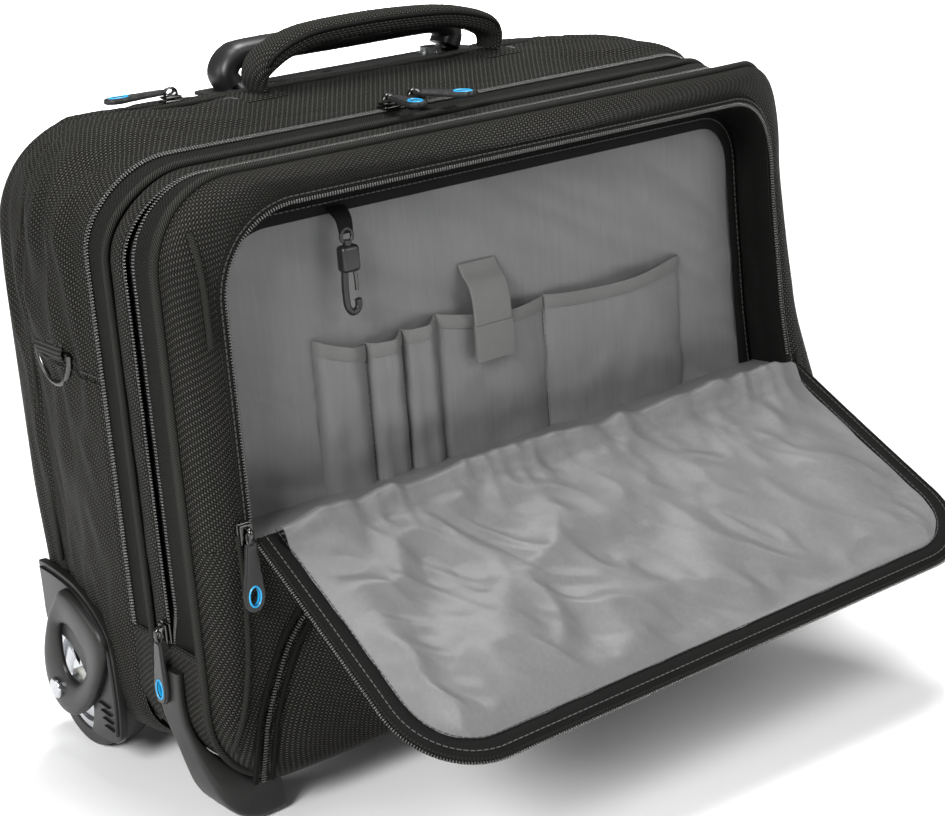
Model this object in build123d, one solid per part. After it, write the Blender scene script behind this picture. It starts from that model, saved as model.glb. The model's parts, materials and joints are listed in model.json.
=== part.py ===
from build123d import *
import math
import os

os.makedirs("parts", exist_ok=True)

# Rolling laptop case, millimetres. X across the case, Y from front to back, Z up from the floor.
# While a piece is built, Y = 0 is the front face; every piece is shifted to the middle on export.

# --- driving dimensions ---------------------------------------------------------------------
half_width = 220.0
front_half_width = 219.0
floor_gap = 25.0          # fabric bottom above the floor
bottom_radius = 34.0
back_y = 186.0
rear_top = 352.0
rear_radius = 52.0
mid_top = 346.0
mid_radius = 48.0
front_top = 341.0
front_radius = 44.0
wall = 4.0
thin = 2.5
fold_z = 88.0             # top of the sewn lower body

main_zip_y = 80.6         # parting line of the main compartment
front_zip_y = 44.0        # parting line of the front compartment
piping_front_y = 12.0
piping_mid_y = 60.0
piping_rear_y = 149.5
piping_radius = 2.2
tape_width = 7.0

opening_half = 191.0
opening_bottom = 160.0
opening_top = 324.0
opening_radius = 44.0
face_depth = 12.0
lining_y = 30.0

flap_hinge_y = -0.6
flap_rest_angle = 120.0   # turned from closed
flap_length = 163.5
flap_thickness = 5.0
flap_edge = 5.0

wheel_y = 165.0
wheel_z = 40.0
wheel_radius = 40.0
wheel_outer_x = 216.0
wheel_width = 22.0
hub_radius = 30.5
axle_radius = 4.0
bush_radius = 7.0
run_fit = 0.05
arm_outer_x = 233.0

tube_x = 66.0
tube_y = 171.0
tube_walls = (9.4, 8.35, 8.3, 7.0, 6.95, 6.0)   # outer, middle and inner tube, outside then inside
grip_half = 88.0

handle_half = 87.0
handle_y = 133.0
handle_pivot_z = 363.0

pocket_half = 127.0
pocket_top = 238.0
pocket_front_y = 20.0

tilt = math.radians(flap_rest_angle - 90)
flap_reach = flap_hinge_y - flap_length * math.cos(tilt)
wheel_back = wheel_y + wheel_radius
centre_shift = -(wheel_back + flap_reach) / 2

made = {}


def keep(name, shape):
    made[name] = Pos(0, centre_shift, 0) * shape


def block(x0, x1, y0, y1, z0, z1):
    size = (x1 - x0, y1 - y0, z1 - z0)
    return Pos((x0 + x1) / 2, (y0 + y1) / 2, (z0 + z1) / 2) * Box(*size)


def slab_xz(sketch, y0, y1):
    return Pos(0, y1, 0) * extrude(Plane.XZ * sketch, y1 - y0)


def slab_yz(points, x0, x1):
    face = make_face(Polyline(*points, close=True).edges())
    return Pos(x0, 0, 0) * extrude(Plane.YZ * face, x1 - x0)


def rounded_yz(points, radius, x0, x1):
    face = make_face(Polyline(*points, close=True).edges())
    face = fillet(face.vertices(), radius)
    return Pos(x0, 0, 0) * extrude(Plane.YZ * face, x1 - x0)


def rod_x(radius, x0, x1, y, z):
    return Pos((x0 + x1) / 2, y, z) * Rot(Y=90) * Cylinder(radius, x1 - x0)


def rod_y(radius, y0, y1, x, z):
    return Pos(x, (y0 + y1) / 2, z) * Rot(X=90) * Cylinder(radius, y1 - y0)


def rod_z(radius, x, y, z0, z1):
    return Pos(x, y, (z0 + z1) / 2) * Cylinder(radius, z1 - z0)


def arch(half, bottom, top, radius, low_radius=0.0):
    """Case outline seen from the front: a rectangle with round corners."""
    shape = Pos(0, (bottom + top) / 2) * Rectangle(2 * half, top - bottom)
    shape = fillet(shape.vertices().sort_by(Axis.Y)[-2:], radius)
    if low_radius:
        shape = fillet(shape.vertices().sort_by(Axis.Y)[:2], low_radius)
    return shape


def ring(half, bottom, top, radius, low_radius, thickness, y0, y1):
    outer = arch(half, bottom, top, radius, low_radius)
    low_inner = max(low_radius - thickness, 0.0)
    inner = arch(half - thickness, bottom + thickness, top - thickness, radius - thickness, low_inner)
    return slab_xz(outer - inner, y0, y1)


def open_ring(half, bottom, top, radius, thickness, y0, y1):
    """Ring whose legs end at the bottom height."""
    outer = arch(half, bottom, top, radius)
    inner = arch(half - thickness, bottom - 1, top - thickness, radius - thickness)
    return slab_xz(outer - inner, y0, y1)


def above_fold(shape, pivot_y, pivot_z, slope):
    """Cut away what lies under the fold line that rises towards the front."""
    front_y = -12.0
    rise = (pivot_y - front_y) * slope
    points = [(front_y, 0), (pivot_y, 0), (pivot_y, pivot_z), (front_y, pivot_z + rise)]
    return shape - slab_yz(points, -260, 260)


def to_right(shape):
    return mirror(shape, Plane.YZ)


def both(shape):
    return shape + to_right(shape)


def pieces(*shapes):
    group = shapes[0]
    for shape in shapes[1:]:
        group += shape
    return group


# --- wheel wells cut out of the rear corners ------------------------------------------------
well_front_y = 116.0
well_top_z = 97.0
well_inner_x = 188.0


def without_wells(shape):
    well = block(-250, -well_inner_x, well_front_y, 260, -5, well_top_z)
    return shape - well - to_right(well)


# --- rear body and lower body ---------------------------------------------------------------
def build_shells():
    tape_back = main_zip_y + tape_width
    rear = ring(half_width, floor_gap, rear_top, rear_radius, bottom_radius, wall, tape_back, 181)
    rear = without_wells(rear)
    for side in (-1, 1):
        rear -= rod_z(tube_walls[0], side * tube_x, tube_y, 340, 360)
    keep("rear_shell", rear)

    base = ring(half_width, floor_gap, rear_top, rear_radius, bottom_radius, wall, 0, tape_back)
    front_wall = slab_xz(arch(half_width, floor_gap, rear_top, rear_radius, bottom_radius), 0, wall)
    base = (base + front_wall) - block(-260, 260, -5, 120, fold_z, 400)
    keep("base_shell", base)

    back = slab_xz(arch(half_width - 2, floor_gap, rear_top - 2, rear_radius, bottom_radius), 181, back_y)
    keep("back_panel", without_wells(back))

    board = slab_xz(arch(182, 46, 338, 40), 147, 149)
    keep("back_board", board)

    divider = slab_xz(arch(176, 34, 292, 20), 122, 128)
    keep("laptop_divider", fillet(divider.edges().filter_by(Axis.X), 2.5))

    pocket = slab_xz(arch(196, 34, fold_z, 12), -6, 0)
    keep("lower_pocket_panel", fillet(pocket.faces().sort_by(Axis.Y)[0].edges(), 2.5))


# --- piping cords ---------------------------------------------------------------------------
def piping(half, bottom, top, radius, low_radius, y, cut_below):
    outline = arch(half, bottom, top, radius, low_radius)
    band = offset(outline, piping_radius) - outline
    shape = slab_xz(band, y - piping_radius, y + piping_radius)
    return shape - block(-260, 260, y - 9, y + 9, -9, cut_below)


def build_piping():
    keep("piping_rear", piping(half_width, floor_gap, rear_top, rear_radius, bottom_radius, piping_rear_y, 112))
    mid = piping(half_width, floor_gap, mid_top, mid_radius, bottom_radius, piping_mid_y, 98)
    keep("piping_mid", mid)
    front = piping(front_half_width, floor_gap, front_top, front_radius, bottom_radius, piping_front_y, 121)
    keep("piping_front", front)


# --- zip tapes ------------------------------------------------------------------------------
def build_tapes():
    rear_row = open_ring(half_width - 1, fold_z, rear_top - 1, rear_radius, thin, main_zip_y, main_zip_y + tape_width)
    back_row = block(-150, 150, piping_rear_y + 2.4, piping_rear_y + 7, rear_top, rear_top + 1)
    keep("case_zip_tapes", pieces(rear_row, back_row))

    near = open_ring(half_width - 1, fold_z, mid_top, mid_radius, thin, main_zip_y - 0.4 - tape_width, main_zip_y - 0.4)
    far = open_ring(half_width - 1, fold_z, mid_top, mid_radius, thin, front_zip_y + 0.4, front_zip_y + 0.4 + tape_width)
    keep("mid_zip_tapes", pieces(fold_mid(near), fold_mid(far)))

    edge = open_ring(
        front_half_width - 1, fold_z, front_top - 0.5, front_radius, thin,
        front_zip_y - 0.4 - tape_width, front_zip_y - 0.4,
    )
    outer = arch(opening_half + 7, opening_bottom, opening_top + 7, opening_radius + 7)
    inner = arch(opening_half + 0.5, opening_bottom - 1, opening_top + 0.5, opening_radius)
    mouth = slab_xz(outer - inner, -1, 0)
    keep("front_zip_tapes", pieces(fold_front(edge), mouth))


def fold_mid(shape):
    return above_fold(shape, main_zip_y, fold_z + 3, 0.30)


def fold_front(shape):
    return above_fold(shape, front_zip_y, fold_z + 13, 0.62)


# --- middle section: between the two long zips ------------------------------------------------
def build_middle():
    shell = open_ring(
        half_width, fold_z, mid_top, mid_radius, wall,
        front_zip_y + 0.4 + tape_width, main_zip_y - 0.4 - tape_width,
    )
    keep("mid_shell", fold_mid(shell))
    panel = slab_xz(arch(half_width - 5, fold_z, mid_top - 5, mid_radius - 5), 47.5, 51)
    keep("mid_divider", fold_mid(panel))


# --- front section with the organizer ---------------------------------------------------------
bulge_top = 142.0         # the padded part of the lower front ends below the hanging flap


def build_front():
    frame_ring = open_ring(
        front_half_width, fold_z, front_top, front_radius, 3.0,
        face_depth, front_zip_y - 0.4 - tape_width,
    )
    keep("front_shell", fold_front(frame_ring))

    face = arch(front_half_width, fold_z, front_top, front_radius)
    mouth = arch(opening_half, opening_bottom, opening_top, opening_radius)
    lower = Pos(0, 120) * Rectangle(500, 2 * (opening_bottom - 120))
    ring_face = slab_xz(face - mouth - lower, 0, face_depth)
    outer_edges = ring_face.faces().sort_by(Axis.Y)[0].outer_wire().edges()
    outer_edges = outer_edges.filter_by(lambda e: e.center().Z > opening_bottom + 1)
    keep("front_face", chamfer(outer_edges, 7))

    panel = slab_xz(Pos(0, 120) * Rectangle(2 * front_half_width, 2 * (opening_bottom - 120)), 0, 4)
    panel += slab_xz(arch(196, fold_z, bulge_top, 30), -6, 0)
    keep("front_lower_panel", fold_front(panel))

    lining = slab_xz(arch(front_half_width - 5, fold_z, front_top - 5, front_radius - 5), lining_y, lining_y + 2.5)
    keep("organizer_lining", fold_front(lining))

    walls = arch(opening_half + 4, opening_bottom - 4, opening_top + 4, opening_radius + 4)
    room = arch(opening_half + 1, opening_bottom - 1, opening_top + 1, opening_radius + 1)
    gusset = slab_xz(walls - room, face_depth, lining_y)
    shelf = block(-opening_half, opening_half, 4, face_depth, opening_bottom - 4, opening_bottom - 1)
    keep("organizer_gusset", gusset + shelf)


def build_pockets():
    bounds = [(-126, -96), (-94, -73), (-71, -51), (-48, 24), (26, 126)]
    low = opening_bottom - 1
    body = block(-pocket_half, pocket_half, pocket_front_y, lining_y, low, pocket_top)
    for left, right in bounds:
        body -= block(left, right, pocket_front_y + 1.2, lining_y - 0.8, low + 1.5, pocket_top + 1)
    keep("organizer_pockets", body)


# --- soft fold between the lower body and the sections that open -----------------------------
def build_fold():
    top_mid = [(main_zip_y - 0.5, fold_z), (main_zip_y - 0.5, fold_z + 2.2)]
    top_mid += [(front_zip_y, fold_z + 12), (0.2, fold_z + 38), (0.2, fold_z)]
    side = slab_yz(top_mid, -half_width, -half_width + thin)
    front = block(-half_width + thin, half_width - thin, 0.2, 3, fold_z, fold_z + 37)
    keep("fold_gusset", side + to_right(side) + front)


# --- flap ------------------------------------------------------------------------------------
def flap_place(shape):
    at_hinge = Pos(0, flap_hinge_y, opening_bottom)
    back = Pos(0, -flap_hinge_y, -opening_bottom)
    return at_hinge * Rot(X=flap_rest_angle) * back * shape


def build_flap():
    top = opening_bottom + flap_length
    low = opening_bottom + 2.5
    whole = arch(opening_half - 0.8, low, top, opening_radius)
    inside = arch(opening_half - 0.8 - flap_edge, low - 1, top - flap_edge, opening_radius - flap_edge)
    panel_front = flap_hinge_y
    panel = slab_xz(whole & inside, panel_front, panel_front + flap_thickness)
    keep("flap_panel", flap_place(panel))
    rim = slab_xz(whole - inside, panel_front + 1, panel_front + 4)
    keep("flap_zip_tape", flap_place(rim))


# --- wheels ----------------------------------------------------------------------------------
def build_wheels():
    outer = -wheel_outer_x
    inner = outer + wheel_width
    tyre = rod_x(wheel_radius, outer, inner, wheel_y, wheel_z)
    tyre -= rod_x(hub_radius, outer - 1, inner + 1, wheel_y, wheel_z)
    tyre = fillet(tyre.edges().filter_by(GeomType.CIRCLE).group_by(SortBy.RADIUS)[-1], 3.0)
    hub = rod_x(hub_radius, outer + 1, inner - 1, wheel_y, wheel_z)
    hub -= rod_x(bush_radius + run_fit, outer - 1, inner + 1, wheel_y, wheel_z)
    dish = rod_x(26, outer, outer + 5, wheel_y, wheel_z) - rod_x(12, outer, outer + 5, wheel_y, wheel_z)
    hub -= dish
    bush = rod_x(bush_radius, outer - 2, inner + 2, wheel_y, wheel_z)
    bush -= rod_x(axle_radius, outer - 5, inner + 5, wheel_y, wheel_z)
    axle = rod_x(axle_radius, -arm_outer_x, -well_inner_x + 2, wheel_y, wheel_z)
    cap = rod_x(6.5, -arm_outer_x - 2, -arm_outer_x, wheel_y, wheel_z)
    keep("tyre_left", tyre)
    keep("tyre_right", to_right(tyre))
    keep("hub_left", hub)
    keep("hub_right", to_right(hub))
    keep("wheel_bushes", both(bush))
    keep("wheel_axles", both(axle))
    keep("axle_caps", both(cap))


def build_housings():
    bore = rod_x(axle_radius, -260, -150, wheel_y, wheel_z)
    inner_wall = block(-191, -well_inner_x, well_front_y, back_y, floor_gap, well_top_z)
    roof = block(-222, -191, well_front_y, back_y, well_top_z - 3, well_top_z)
    front = block(-218, -191, well_front_y, well_front_y + 3, floor_gap, well_top_z - 3)
    plate_points = [(103, 24), (102, 79), (109, 90), (123, 101), (138, 108), (178, 112), (178, 76)]
    plate_points += [(184, 52), (150, 12.5), (125, 12)]
    plate = rounded_yz(plate_points, 2.0, -226, -222)
    plate -= rod_x(31.5, -230, -218, wheel_y, wheel_z)
    plate -= block(-230, -218, wheel_y, 200, 0, 72)
    arm_points = [(143, 104), (160, 86), (172, 66), (178, 46), (172, 30), (158, 25), (141, 31)]
    arm_points += [(120, 50), (112, 64), (104, 79), (112, 91), (126, 99)]
    arm = rounded_yz(arm_points, 4.0, -arm_outer_x, -226)
    hole_points = [(157, 77), (144, 78), (130, 66), (133, 58), (145, 50), (160, 54)]
    arm -= rounded_yz(hole_points, 3.0, -240, -220)
    body = inner_wall + roof + front + plate + arm - bore
    keep("wheel_housing_left", body)
    keep("wheel_housing_right", to_right(body))


foot_top_z = 87.0         # under the sections that tip forward


def build_feet():
    skin = arch(half_width + 4.5, 0, 200, 30, bottom_radius + 4) - arch(half_width, floor_gap, 210, 20, bottom_radius)
    strap = slab_xz(skin, 12, 57) - block(-260, 260, 0, 90, foot_top_z, 260)
    strap -= block(-160, 160, 0, 90, -5, 60)
    strap -= block(-260, 260, 0, 30, 42, 120)
    cut = [(5, -2), (39, -2), (39, 0), (12, floor_gap - 1), (5, floor_gap - 1)]
    strap -= slab_yz(cut, -260, 260)
    toe = [(-166, -1), (-155, floor_gap + 1), (-155, -1)]
    side = [(-260, -1), (-201, -1), (-201, 0), (-227, 44), (-260, 44)]
    for points in (toe, side):
        edge = slab_xz(make_face(Polyline(*points, close=True).edges()), 0, 90)
        strap -= edge
        strap -= to_right(edge)
    keep("front_feet", strap)


# --- telescopic handle -------------------------------------------------------------------------
def tube_pair(outer, inner, z0, z1):
    tube = rod_z(outer, -tube_x, tube_y, z0, z1) - rod_z(inner, -tube_x, tube_y, z0 - 1, z1 + 1)
    return both(tube)


def build_trolley():
    outer_r, outer_in, mid_r, mid_in, inner_r, inner_in = tube_walls
    keep("outer_tubes", tube_pair(outer_r, outer_in, 46, rear_top))
    keep("middle_tubes", tube_pair(mid_r, mid_in, 60, rear_top + 2))
    keep("inner_tubes", tube_pair(inner_r, inner_in, 70, rear_top + 5))
    foot = block(-90, 90, 161, 180.5, 40, 46)
    keep("tube_foot", fillet(foot.edges().filter_by(Axis.Z), 4))

    collar = block(-94, 94, 160.5, 182.5, rear_top, rear_top + 1.6)
    collar = fillet(collar.edges().filter_by(Axis.Z), 6)
    for side in (-1, 1):
        collar -= rod_z(mid_r + 0.3, side * tube_x, tube_y, rear_top - 1, rear_top + 3)
    keep("handle_collar", collar)

    low = rear_top + 5
    high = low + 23
    outline = arch(grip_half, low, high, 11)
    gap = arch(52, low - 1, low + 8, 6)
    grip = slab_xz(outline - gap, tube_y - 10, tube_y + 10)
    grip = fillet(grip.faces().filter_by(Axis.Y).edges().filter_by(lambda e: e.center().Z > low + 2), 3)
    grip -= block(-15, 15, tube_y - 6, tube_y + 6, high - 9, high + 3)
    spring_low = high - 12.3
    grip -= rod_z(3.4, 0, tube_y, spring_low, high - 8)
    keep("grip", grip)
    button = block(-14.7, 14.7, tube_y - 5.7, tube_y + 5.7, high - 4.5, high + 1)
    keep("grip_button", fillet(button.edges().group_by(Axis.Z)[-1], 0.8))
    spring = rod_z(3, 0, tube_y, spring_low, high - 4.5) - rod_z(2, 0, tube_y, spring_low - 1, high - 4)
    keep("button_spring", spring)


# --- carry handle ------------------------------------------------------------------------------
def build_carry_handle():
    low = handle_pivot_z
    outer = arch(handle_half, low, low + 25, 20)
    inner = arch(handle_half - 14, low - 1, low + 13, 10)
    loop = slab_xz(outer - inner, handle_y - 12, handle_y + 12)
    loop = fillet(loop.edges().filter_by(lambda e: e.center().Z > low + 1).filter_by(GeomType.CIRCLE), 3)
    end_x = handle_half - 7
    for side in (-1, 1):
        loop -= block(side * end_x - 8, side * end_x + 8, handle_y - 13, handle_y - 4.4, low - 1, low + 9)
        loop -= block(side * end_x - 8, side * end_x + 8, handle_y + 4.4, handle_y + 13, low - 1, low + 9)
        eye = rod_x(4.4, side * end_x - 7, side * end_x + 7, handle_y, low)
        loop += eye
        loop -= rod_x(1.55, side * end_x - 9, side * end_x + 9, handle_y, low)
    keep("carry_handle", loop)
    anchors = []
    rivets = []
    for side in (-1, 1):
        x = side * end_x
        patch = block(x - 11, x + 11, handle_y - 12, handle_y + 12, rear_top, rear_top + 3)
        for ear in (-1, 1):
            ear_x = x + ear * 9.2
            patch += block(ear_x - 1.5, ear_x + 1.5, handle_y - 4, handle_y + 4, rear_top + 3, low + 4)
        patch += rod_x(1.5, x - 8, x + 8, handle_y, low)
        anchors.append(patch)
        rivets.append(rod_z(5, side * (end_x + 17), handle_y, rear_top, rear_top + 2.5))
    keep("handle_rivets", pieces(*rivets))
    return anchors


# --- D-rings -----------------------------------------------------------------------------------
ring_y = 127.0
ring_z = 243.0
ring_x = half_width + 3.4


def build_rings():
    wire = 1.7
    reach = 18.0
    bar = rod_y(wire, ring_y - reach, ring_y + reach, -ring_x, ring_z)
    arc = Rot(Z=90) * Rot(X=90) * Torus(reach, wire)
    arc = Pos(-ring_x, ring_y, ring_z) * arc
    arc -= block(-ring_x - 9, -ring_x + 9, ring_y - 40, ring_y + 40, ring_z, ring_z + 40)
    hoop = bar + arc
    keep("d_ring_left", hoop)
    keep("d_ring_right", to_right(hoop))
    loop = block(-ring_x - 3, -half_width, ring_y - 14.5, ring_y + 14.5, ring_z - 3, ring_z + 7)
    loop -= rod_y(wire + run_fit, ring_y - 24, ring_y + 24, -ring_x, ring_z)
    return [loop, to_right(loop)]


# --- strap and key hook -------------------------------------------------------------------------
strap_x = -18.0
hook_x = -107.0
hook_y = 17.0


def build_strap():
    drop = block(strap_x - 13, strap_x + 13, 16.8, 18.6, 212, 252)
    top = block(strap_x - 13, strap_x + 13, 18.6, 28.6, 250, 252)
    strap = drop + top
    keep("pocket_strap", strap)


def build_hook():
    tab_top = opening_top
    tab = block(hook_x - 11, hook_x + 11, hook_y - 1, hook_y + 1, 300, tab_top + 1)
    tab += block(hook_x - 2.5, hook_x + 2.5, hook_y - 1, hook_y + 1, 294, 300)
    tab += rod_z(4.0, hook_x, hook_y, 292, 294)
    keep("hook_tab", tab)
    barrel = rod_z(5.5, hook_x, hook_y, 282, 296.5)
    barrel -= rod_z(4.3, hook_x, hook_y, 291.7, 294.3)
    barrel -= block(hook_x - 2.8, hook_x + 2.8, hook_y - 6, hook_y + 6, 294.2, 297)
    outline = Pos(hook_x, 267) * RectangleRounded(17, 34, 6)
    opening = Pos(hook_x, 266) * RectangleRounded(10, 22, 4)
    throat = Pos(hook_x + 6, 266) * Rectangle(6, 13)
    body = slab_xz(outline - opening - throat, hook_y - 2.5, hook_y + 2.5)
    keep("snap_hook", barrel + body)
    gate = block(hook_x + 5.2, hook_x + 8.2, hook_y - 2, hook_y + 2, 260.2, 272.2)
    keep("hook_gate", gate)


# --- zip sliders and their pulls ----------------------------------------------------------------
pin_z = 6.2


def make_slider():
    body = Pos(0, 0, 1.8) * Box(12, 8, 3.6)
    body = fillet(body.edges().filter_by(Axis.Z), 2.0)
    for side in (-1, 1):
        body += Pos(0, side * 2.7, 5.6) * Box(4, 1.2, 4.4)
    body += Pos(0, 0, pin_z) * Rot(X=90) * Cylinder(0.9, 6)
    return body


def make_pull():
    eye = Pos(0, 0, pin_z) * Rot(X=90) * Cylinder(2.2, 4.0)
    neck = Pos(3.5, 0, pin_z) * Box(7, 4.0, 2.4)
    half = [(5, 3.5), (24, 5.5), (30, 6), (38, 4)]
    outline = [(x, -y) for x, y in half] + [(40, 0)] + half[::-1]
    tab_outline = make_face(Polyline(*outline, close=True).edges())
    tab = Pos(0, 0, pin_z - 1.2) * extrude(tab_outline, 2.4)
    hole = Pos(31.5, 0, pin_z) * extrude(SlotOverall(10, 5), 4, both=True)
    return eye + neck + tab - hole - Pos(0, 0, pin_z) * Rot(X=90) * Cylinder(0.95, 9)


def lie(x, y, z, toward, up):
    """Place where the pull points toward one direction and the slider's top faces another."""
    return Plane(origin=(x, y, z), x_dir=toward, z_dir=up).location


def build_sliders():
    slider = make_slider()
    pull = make_pull()
    zip_top = rear_top + 0.4
    places = {
        "main_left": lie(-30, main_zip_y, zip_top, (-0.15, -0.9887, 0), (0, 0, 1)),
        "main_right": lie(-13, main_zip_y, zip_top, (0.36, -0.933, 0), (0, 0, 1)),
        "front": lie(-half_width - 0.4, 43, 108, (0, 0.1, -1), (-1, 0, 0)),
        "flap": lie(-195.5, -1.4, 166, (-0.05, 0, -1), (0, -1, 0)),
        "rear": lie(-122, piping_rear_y + 4.7, rear_top + 2.4, (-1, 0, 0), (0, 0, 1)),
    }
    for name, place in places.items():
        keep(name + "_slider", place * slider)
        keep(name + "_pull", place * pull)
        pin = place * Pos(0, 0, pin_z)
        print(name, "pull pin", pin.position + Vector(0, centre_shift, 0), "axis", Plane(place).y_dir)


build_shells()
build_piping()
build_tapes()
build_middle()
build_front()
build_pockets()
build_fold()
build_flap()
build_wheels()
build_housings()
build_feet()
build_trolley()
webbing = build_carry_handle() + build_rings()
keep("webbing_loops", pieces(*webbing))
build_strap()
build_hook()
build_sliders()

for node, shape in made.items():
    export_step(shape, f"parts/{node}.step")
print("pieces", len(made), "shift", round(centre_shift, 3))
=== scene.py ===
import json
import math
import bpy
import bmesh
from mathutils import Matrix, Vector, noise

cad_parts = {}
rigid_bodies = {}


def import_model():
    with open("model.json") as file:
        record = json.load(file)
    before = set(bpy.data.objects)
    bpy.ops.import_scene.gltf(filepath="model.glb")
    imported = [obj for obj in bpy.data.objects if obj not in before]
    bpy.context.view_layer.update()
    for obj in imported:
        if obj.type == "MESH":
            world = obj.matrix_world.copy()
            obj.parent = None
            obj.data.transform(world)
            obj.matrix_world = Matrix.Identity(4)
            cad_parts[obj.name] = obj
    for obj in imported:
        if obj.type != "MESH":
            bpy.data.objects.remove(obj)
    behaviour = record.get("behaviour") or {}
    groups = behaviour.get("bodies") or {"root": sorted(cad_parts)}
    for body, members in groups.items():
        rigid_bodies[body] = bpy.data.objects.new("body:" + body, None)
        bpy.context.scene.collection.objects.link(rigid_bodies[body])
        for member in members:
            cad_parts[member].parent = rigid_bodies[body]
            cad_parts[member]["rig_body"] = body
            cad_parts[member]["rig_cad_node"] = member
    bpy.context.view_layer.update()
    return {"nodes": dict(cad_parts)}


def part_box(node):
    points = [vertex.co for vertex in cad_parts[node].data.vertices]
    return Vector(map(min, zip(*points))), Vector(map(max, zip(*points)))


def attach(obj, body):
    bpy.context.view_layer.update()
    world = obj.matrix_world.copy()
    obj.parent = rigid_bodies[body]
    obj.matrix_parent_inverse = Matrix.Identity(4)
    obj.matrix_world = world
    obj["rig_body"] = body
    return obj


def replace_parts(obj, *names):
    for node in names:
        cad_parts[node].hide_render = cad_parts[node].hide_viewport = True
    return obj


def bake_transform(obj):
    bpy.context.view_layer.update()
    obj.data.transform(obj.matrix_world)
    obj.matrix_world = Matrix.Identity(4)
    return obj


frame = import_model()
print("frame loaded")

# The case is laid out in millimetres from the front face; spot() turns that into the row frame.
backPanelY = 186.0
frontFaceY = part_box("back_panel")[1].y - backPanelY / 1000
widthAxis, depthAxis, heightAxis = Vector((1, 0, 0)), Vector((0, 1, 0)), Vector((0, 0, 1))
bothSides = (("Left", -1), ("Right", 1))

slump = {"startX": 140.0, "spanX": 79.0, "base": 15.0, "more": 9.0, "lowZ": 170.0, "spanZ": 115.0}
sag = {"deep": 9.5, "right": 6.5}


def plain(x, y, z):
    return Vector((x / 1000, y / 1000 + frontFaceY, z / 1000))


def spot(x, y, z):
    # the half-empty front sections lean inwards and back on their right side
    if x > slump["startX"] and -9 < y < 125 and z > 118:
        amount = slump["base"] * ease((z - 118) / 85)
        amount += slump["more"] * ease((z - slump["lowZ"]) / slump["spanZ"])
        amount *= clamp((x - slump["startX"]) / slump["spanX"]) ** 2.0 * (1 - ease((y - 35) / 80))
        x -= 0.63 * amount
        y += 0.82 * amount
    # the top sinks between the front edge and the handle, and at the right end of the back
    if z > 280:
        drop = sag["deep"] * ease((z - 285) / 60) * ease((y - 8) / 45) * (1 - ease((y - 88) / 42))
        drop += sag["right"] * ease((z - 285) / 60) * ease((x - 118) / 70) * ease((y - 95) / 30)
        z -= drop
    return plain(x, y, z)


def clamp(value, low=0.0, high=1.0):
    return max(low, min(high, value))


def ease(value):
    value = clamp(value)
    return value * value * (3 - 2 * value)


def rough(x, y, z, size, seed=0.0):
    # smooth noise between -1 and 1 with bumps about this many millimetres wide
    return noise.noise(Vector((x / size + seed, y / size - seed, z / size + 2.7 * seed)))


# shader groups and finishes
def newGroup(name, inputs, outputs):
    group = bpy.data.node_groups.new(name, "ShaderNodeTree")
    for label, kind, value in inputs:
        socket = group.interface.new_socket(label, in_out="INPUT", socket_type=kind)
        if value is not None:
            socket.default_value = value
    for label, kind in outputs:
        group.interface.new_socket(label, in_out="OUTPUT", socket_type=kind)
    given, result = group.nodes.new("NodeGroupInput"), group.nodes.new("NodeGroupOutput")
    return group, given, result, lambda *parts: calc(group, *parts)


def calc(tree, operation, first, second=None, third=None):
    node = tree.nodes.new("ShaderNodeMath")
    node.operation = operation
    for socket, value in zip(node.inputs, (first, second, third)):
        if value is None:
            continue
        if isinstance(value, (int, float)):
            socket.default_value = value
        else:
            tree.links.new(value, socket)
    return node.outputs[0]


floatKind = "NodeSocketFloat"


def makeWeaveGroup():
    # basket weave: slanted cells, each one a thread that runs over its neighbours; the colour output is
    # painted shade in the gaps and on the threads that pass under, and a painted highlight on the thread
    # crowns
    group, given, result, do = newGroup(
        "weave",
        [("Vector", "NodeSocketVector", None), ("Pitch", floatKind, 0.0014), ("Fade", floatKind, 0.3)],
        [("Height", floatKind), ("ThreadShading", floatKind)],
    )
    split = group.nodes.new("ShaderNodeSeparateXYZ")
    group.links.new(given.outputs["Vector"], split.inputs[0])
    pitch, fade = given.outputs["Pitch"], given.outputs["Fade"]
    leaning = do("MULTIPLY_ADD", split.outputs[1], 0.45, split.outputs[0])
    across = do("DIVIDE", leaning, do("MULTIPLY", pitch, 1.15))
    along = do("DIVIDE", split.outputs[1], pitch)
    cells = do("ADD", do("FLOOR", across), do("FLOOR", along))
    over = do("MODULO", do("ABSOLUTE", cells), 2.0)
    fractions = [do("FRACT", across), do("FRACT", along)]
    waves = [do("SINE", do("MULTIPLY", part, math.pi)) for part in fractions]
    roundOver = [do("POWER", do("MAXIMUM", wave, 0.001), 0.45) for wave in waves]
    first = do("MULTIPLY", roundOver[0], waves[1])
    second = do("MULTIPLY", roundOver[1], waves[0])
    under = do("MULTIPLY", second, do("SUBTRACT", 1.0, over))
    mix = do("ADD", do("MULTIPLY", first, over), under)
    group.links.new(mix, result.inputs["Height"])
    # painted shade: the threads that pass under are darkened
    underShading = do("MULTIPLY_ADD", over, fade, do("SUBTRACT", 1.0, fade))
    shade = do("MULTIPLY", do("POWER", mix, 1.4), underShading)
    group.links.new(shade, result.inputs["ThreadShading"])
    return group


def makeRibGroup():
    # fine parallel ribs, as on grosgrain and cord
    group, given, result, do = newGroup(
        "ribs",
        [("Vector", "NodeSocketVector", None), ("Pitch", floatKind, 0.0008), ("Slant", floatKind, 0.0)],
        [("Height", floatKind)],
    )
    split = group.nodes.new("ShaderNodeSeparateXYZ")
    group.links.new(given.outputs["Vector"], split.inputs[0])
    leaning = do("ADD", split.outputs[0], do("MULTIPLY", split.outputs[1], given.outputs["Slant"]))
    turns = do("DIVIDE", leaning, given.outputs["Pitch"])
    wave = do("SINE", do("MULTIPLY", turns, 2 * math.pi))
    half = do("MULTIPLY_ADD", wave, 0.5, 0.5)
    group.links.new(half, result.inputs["Height"])
    return group


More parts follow.
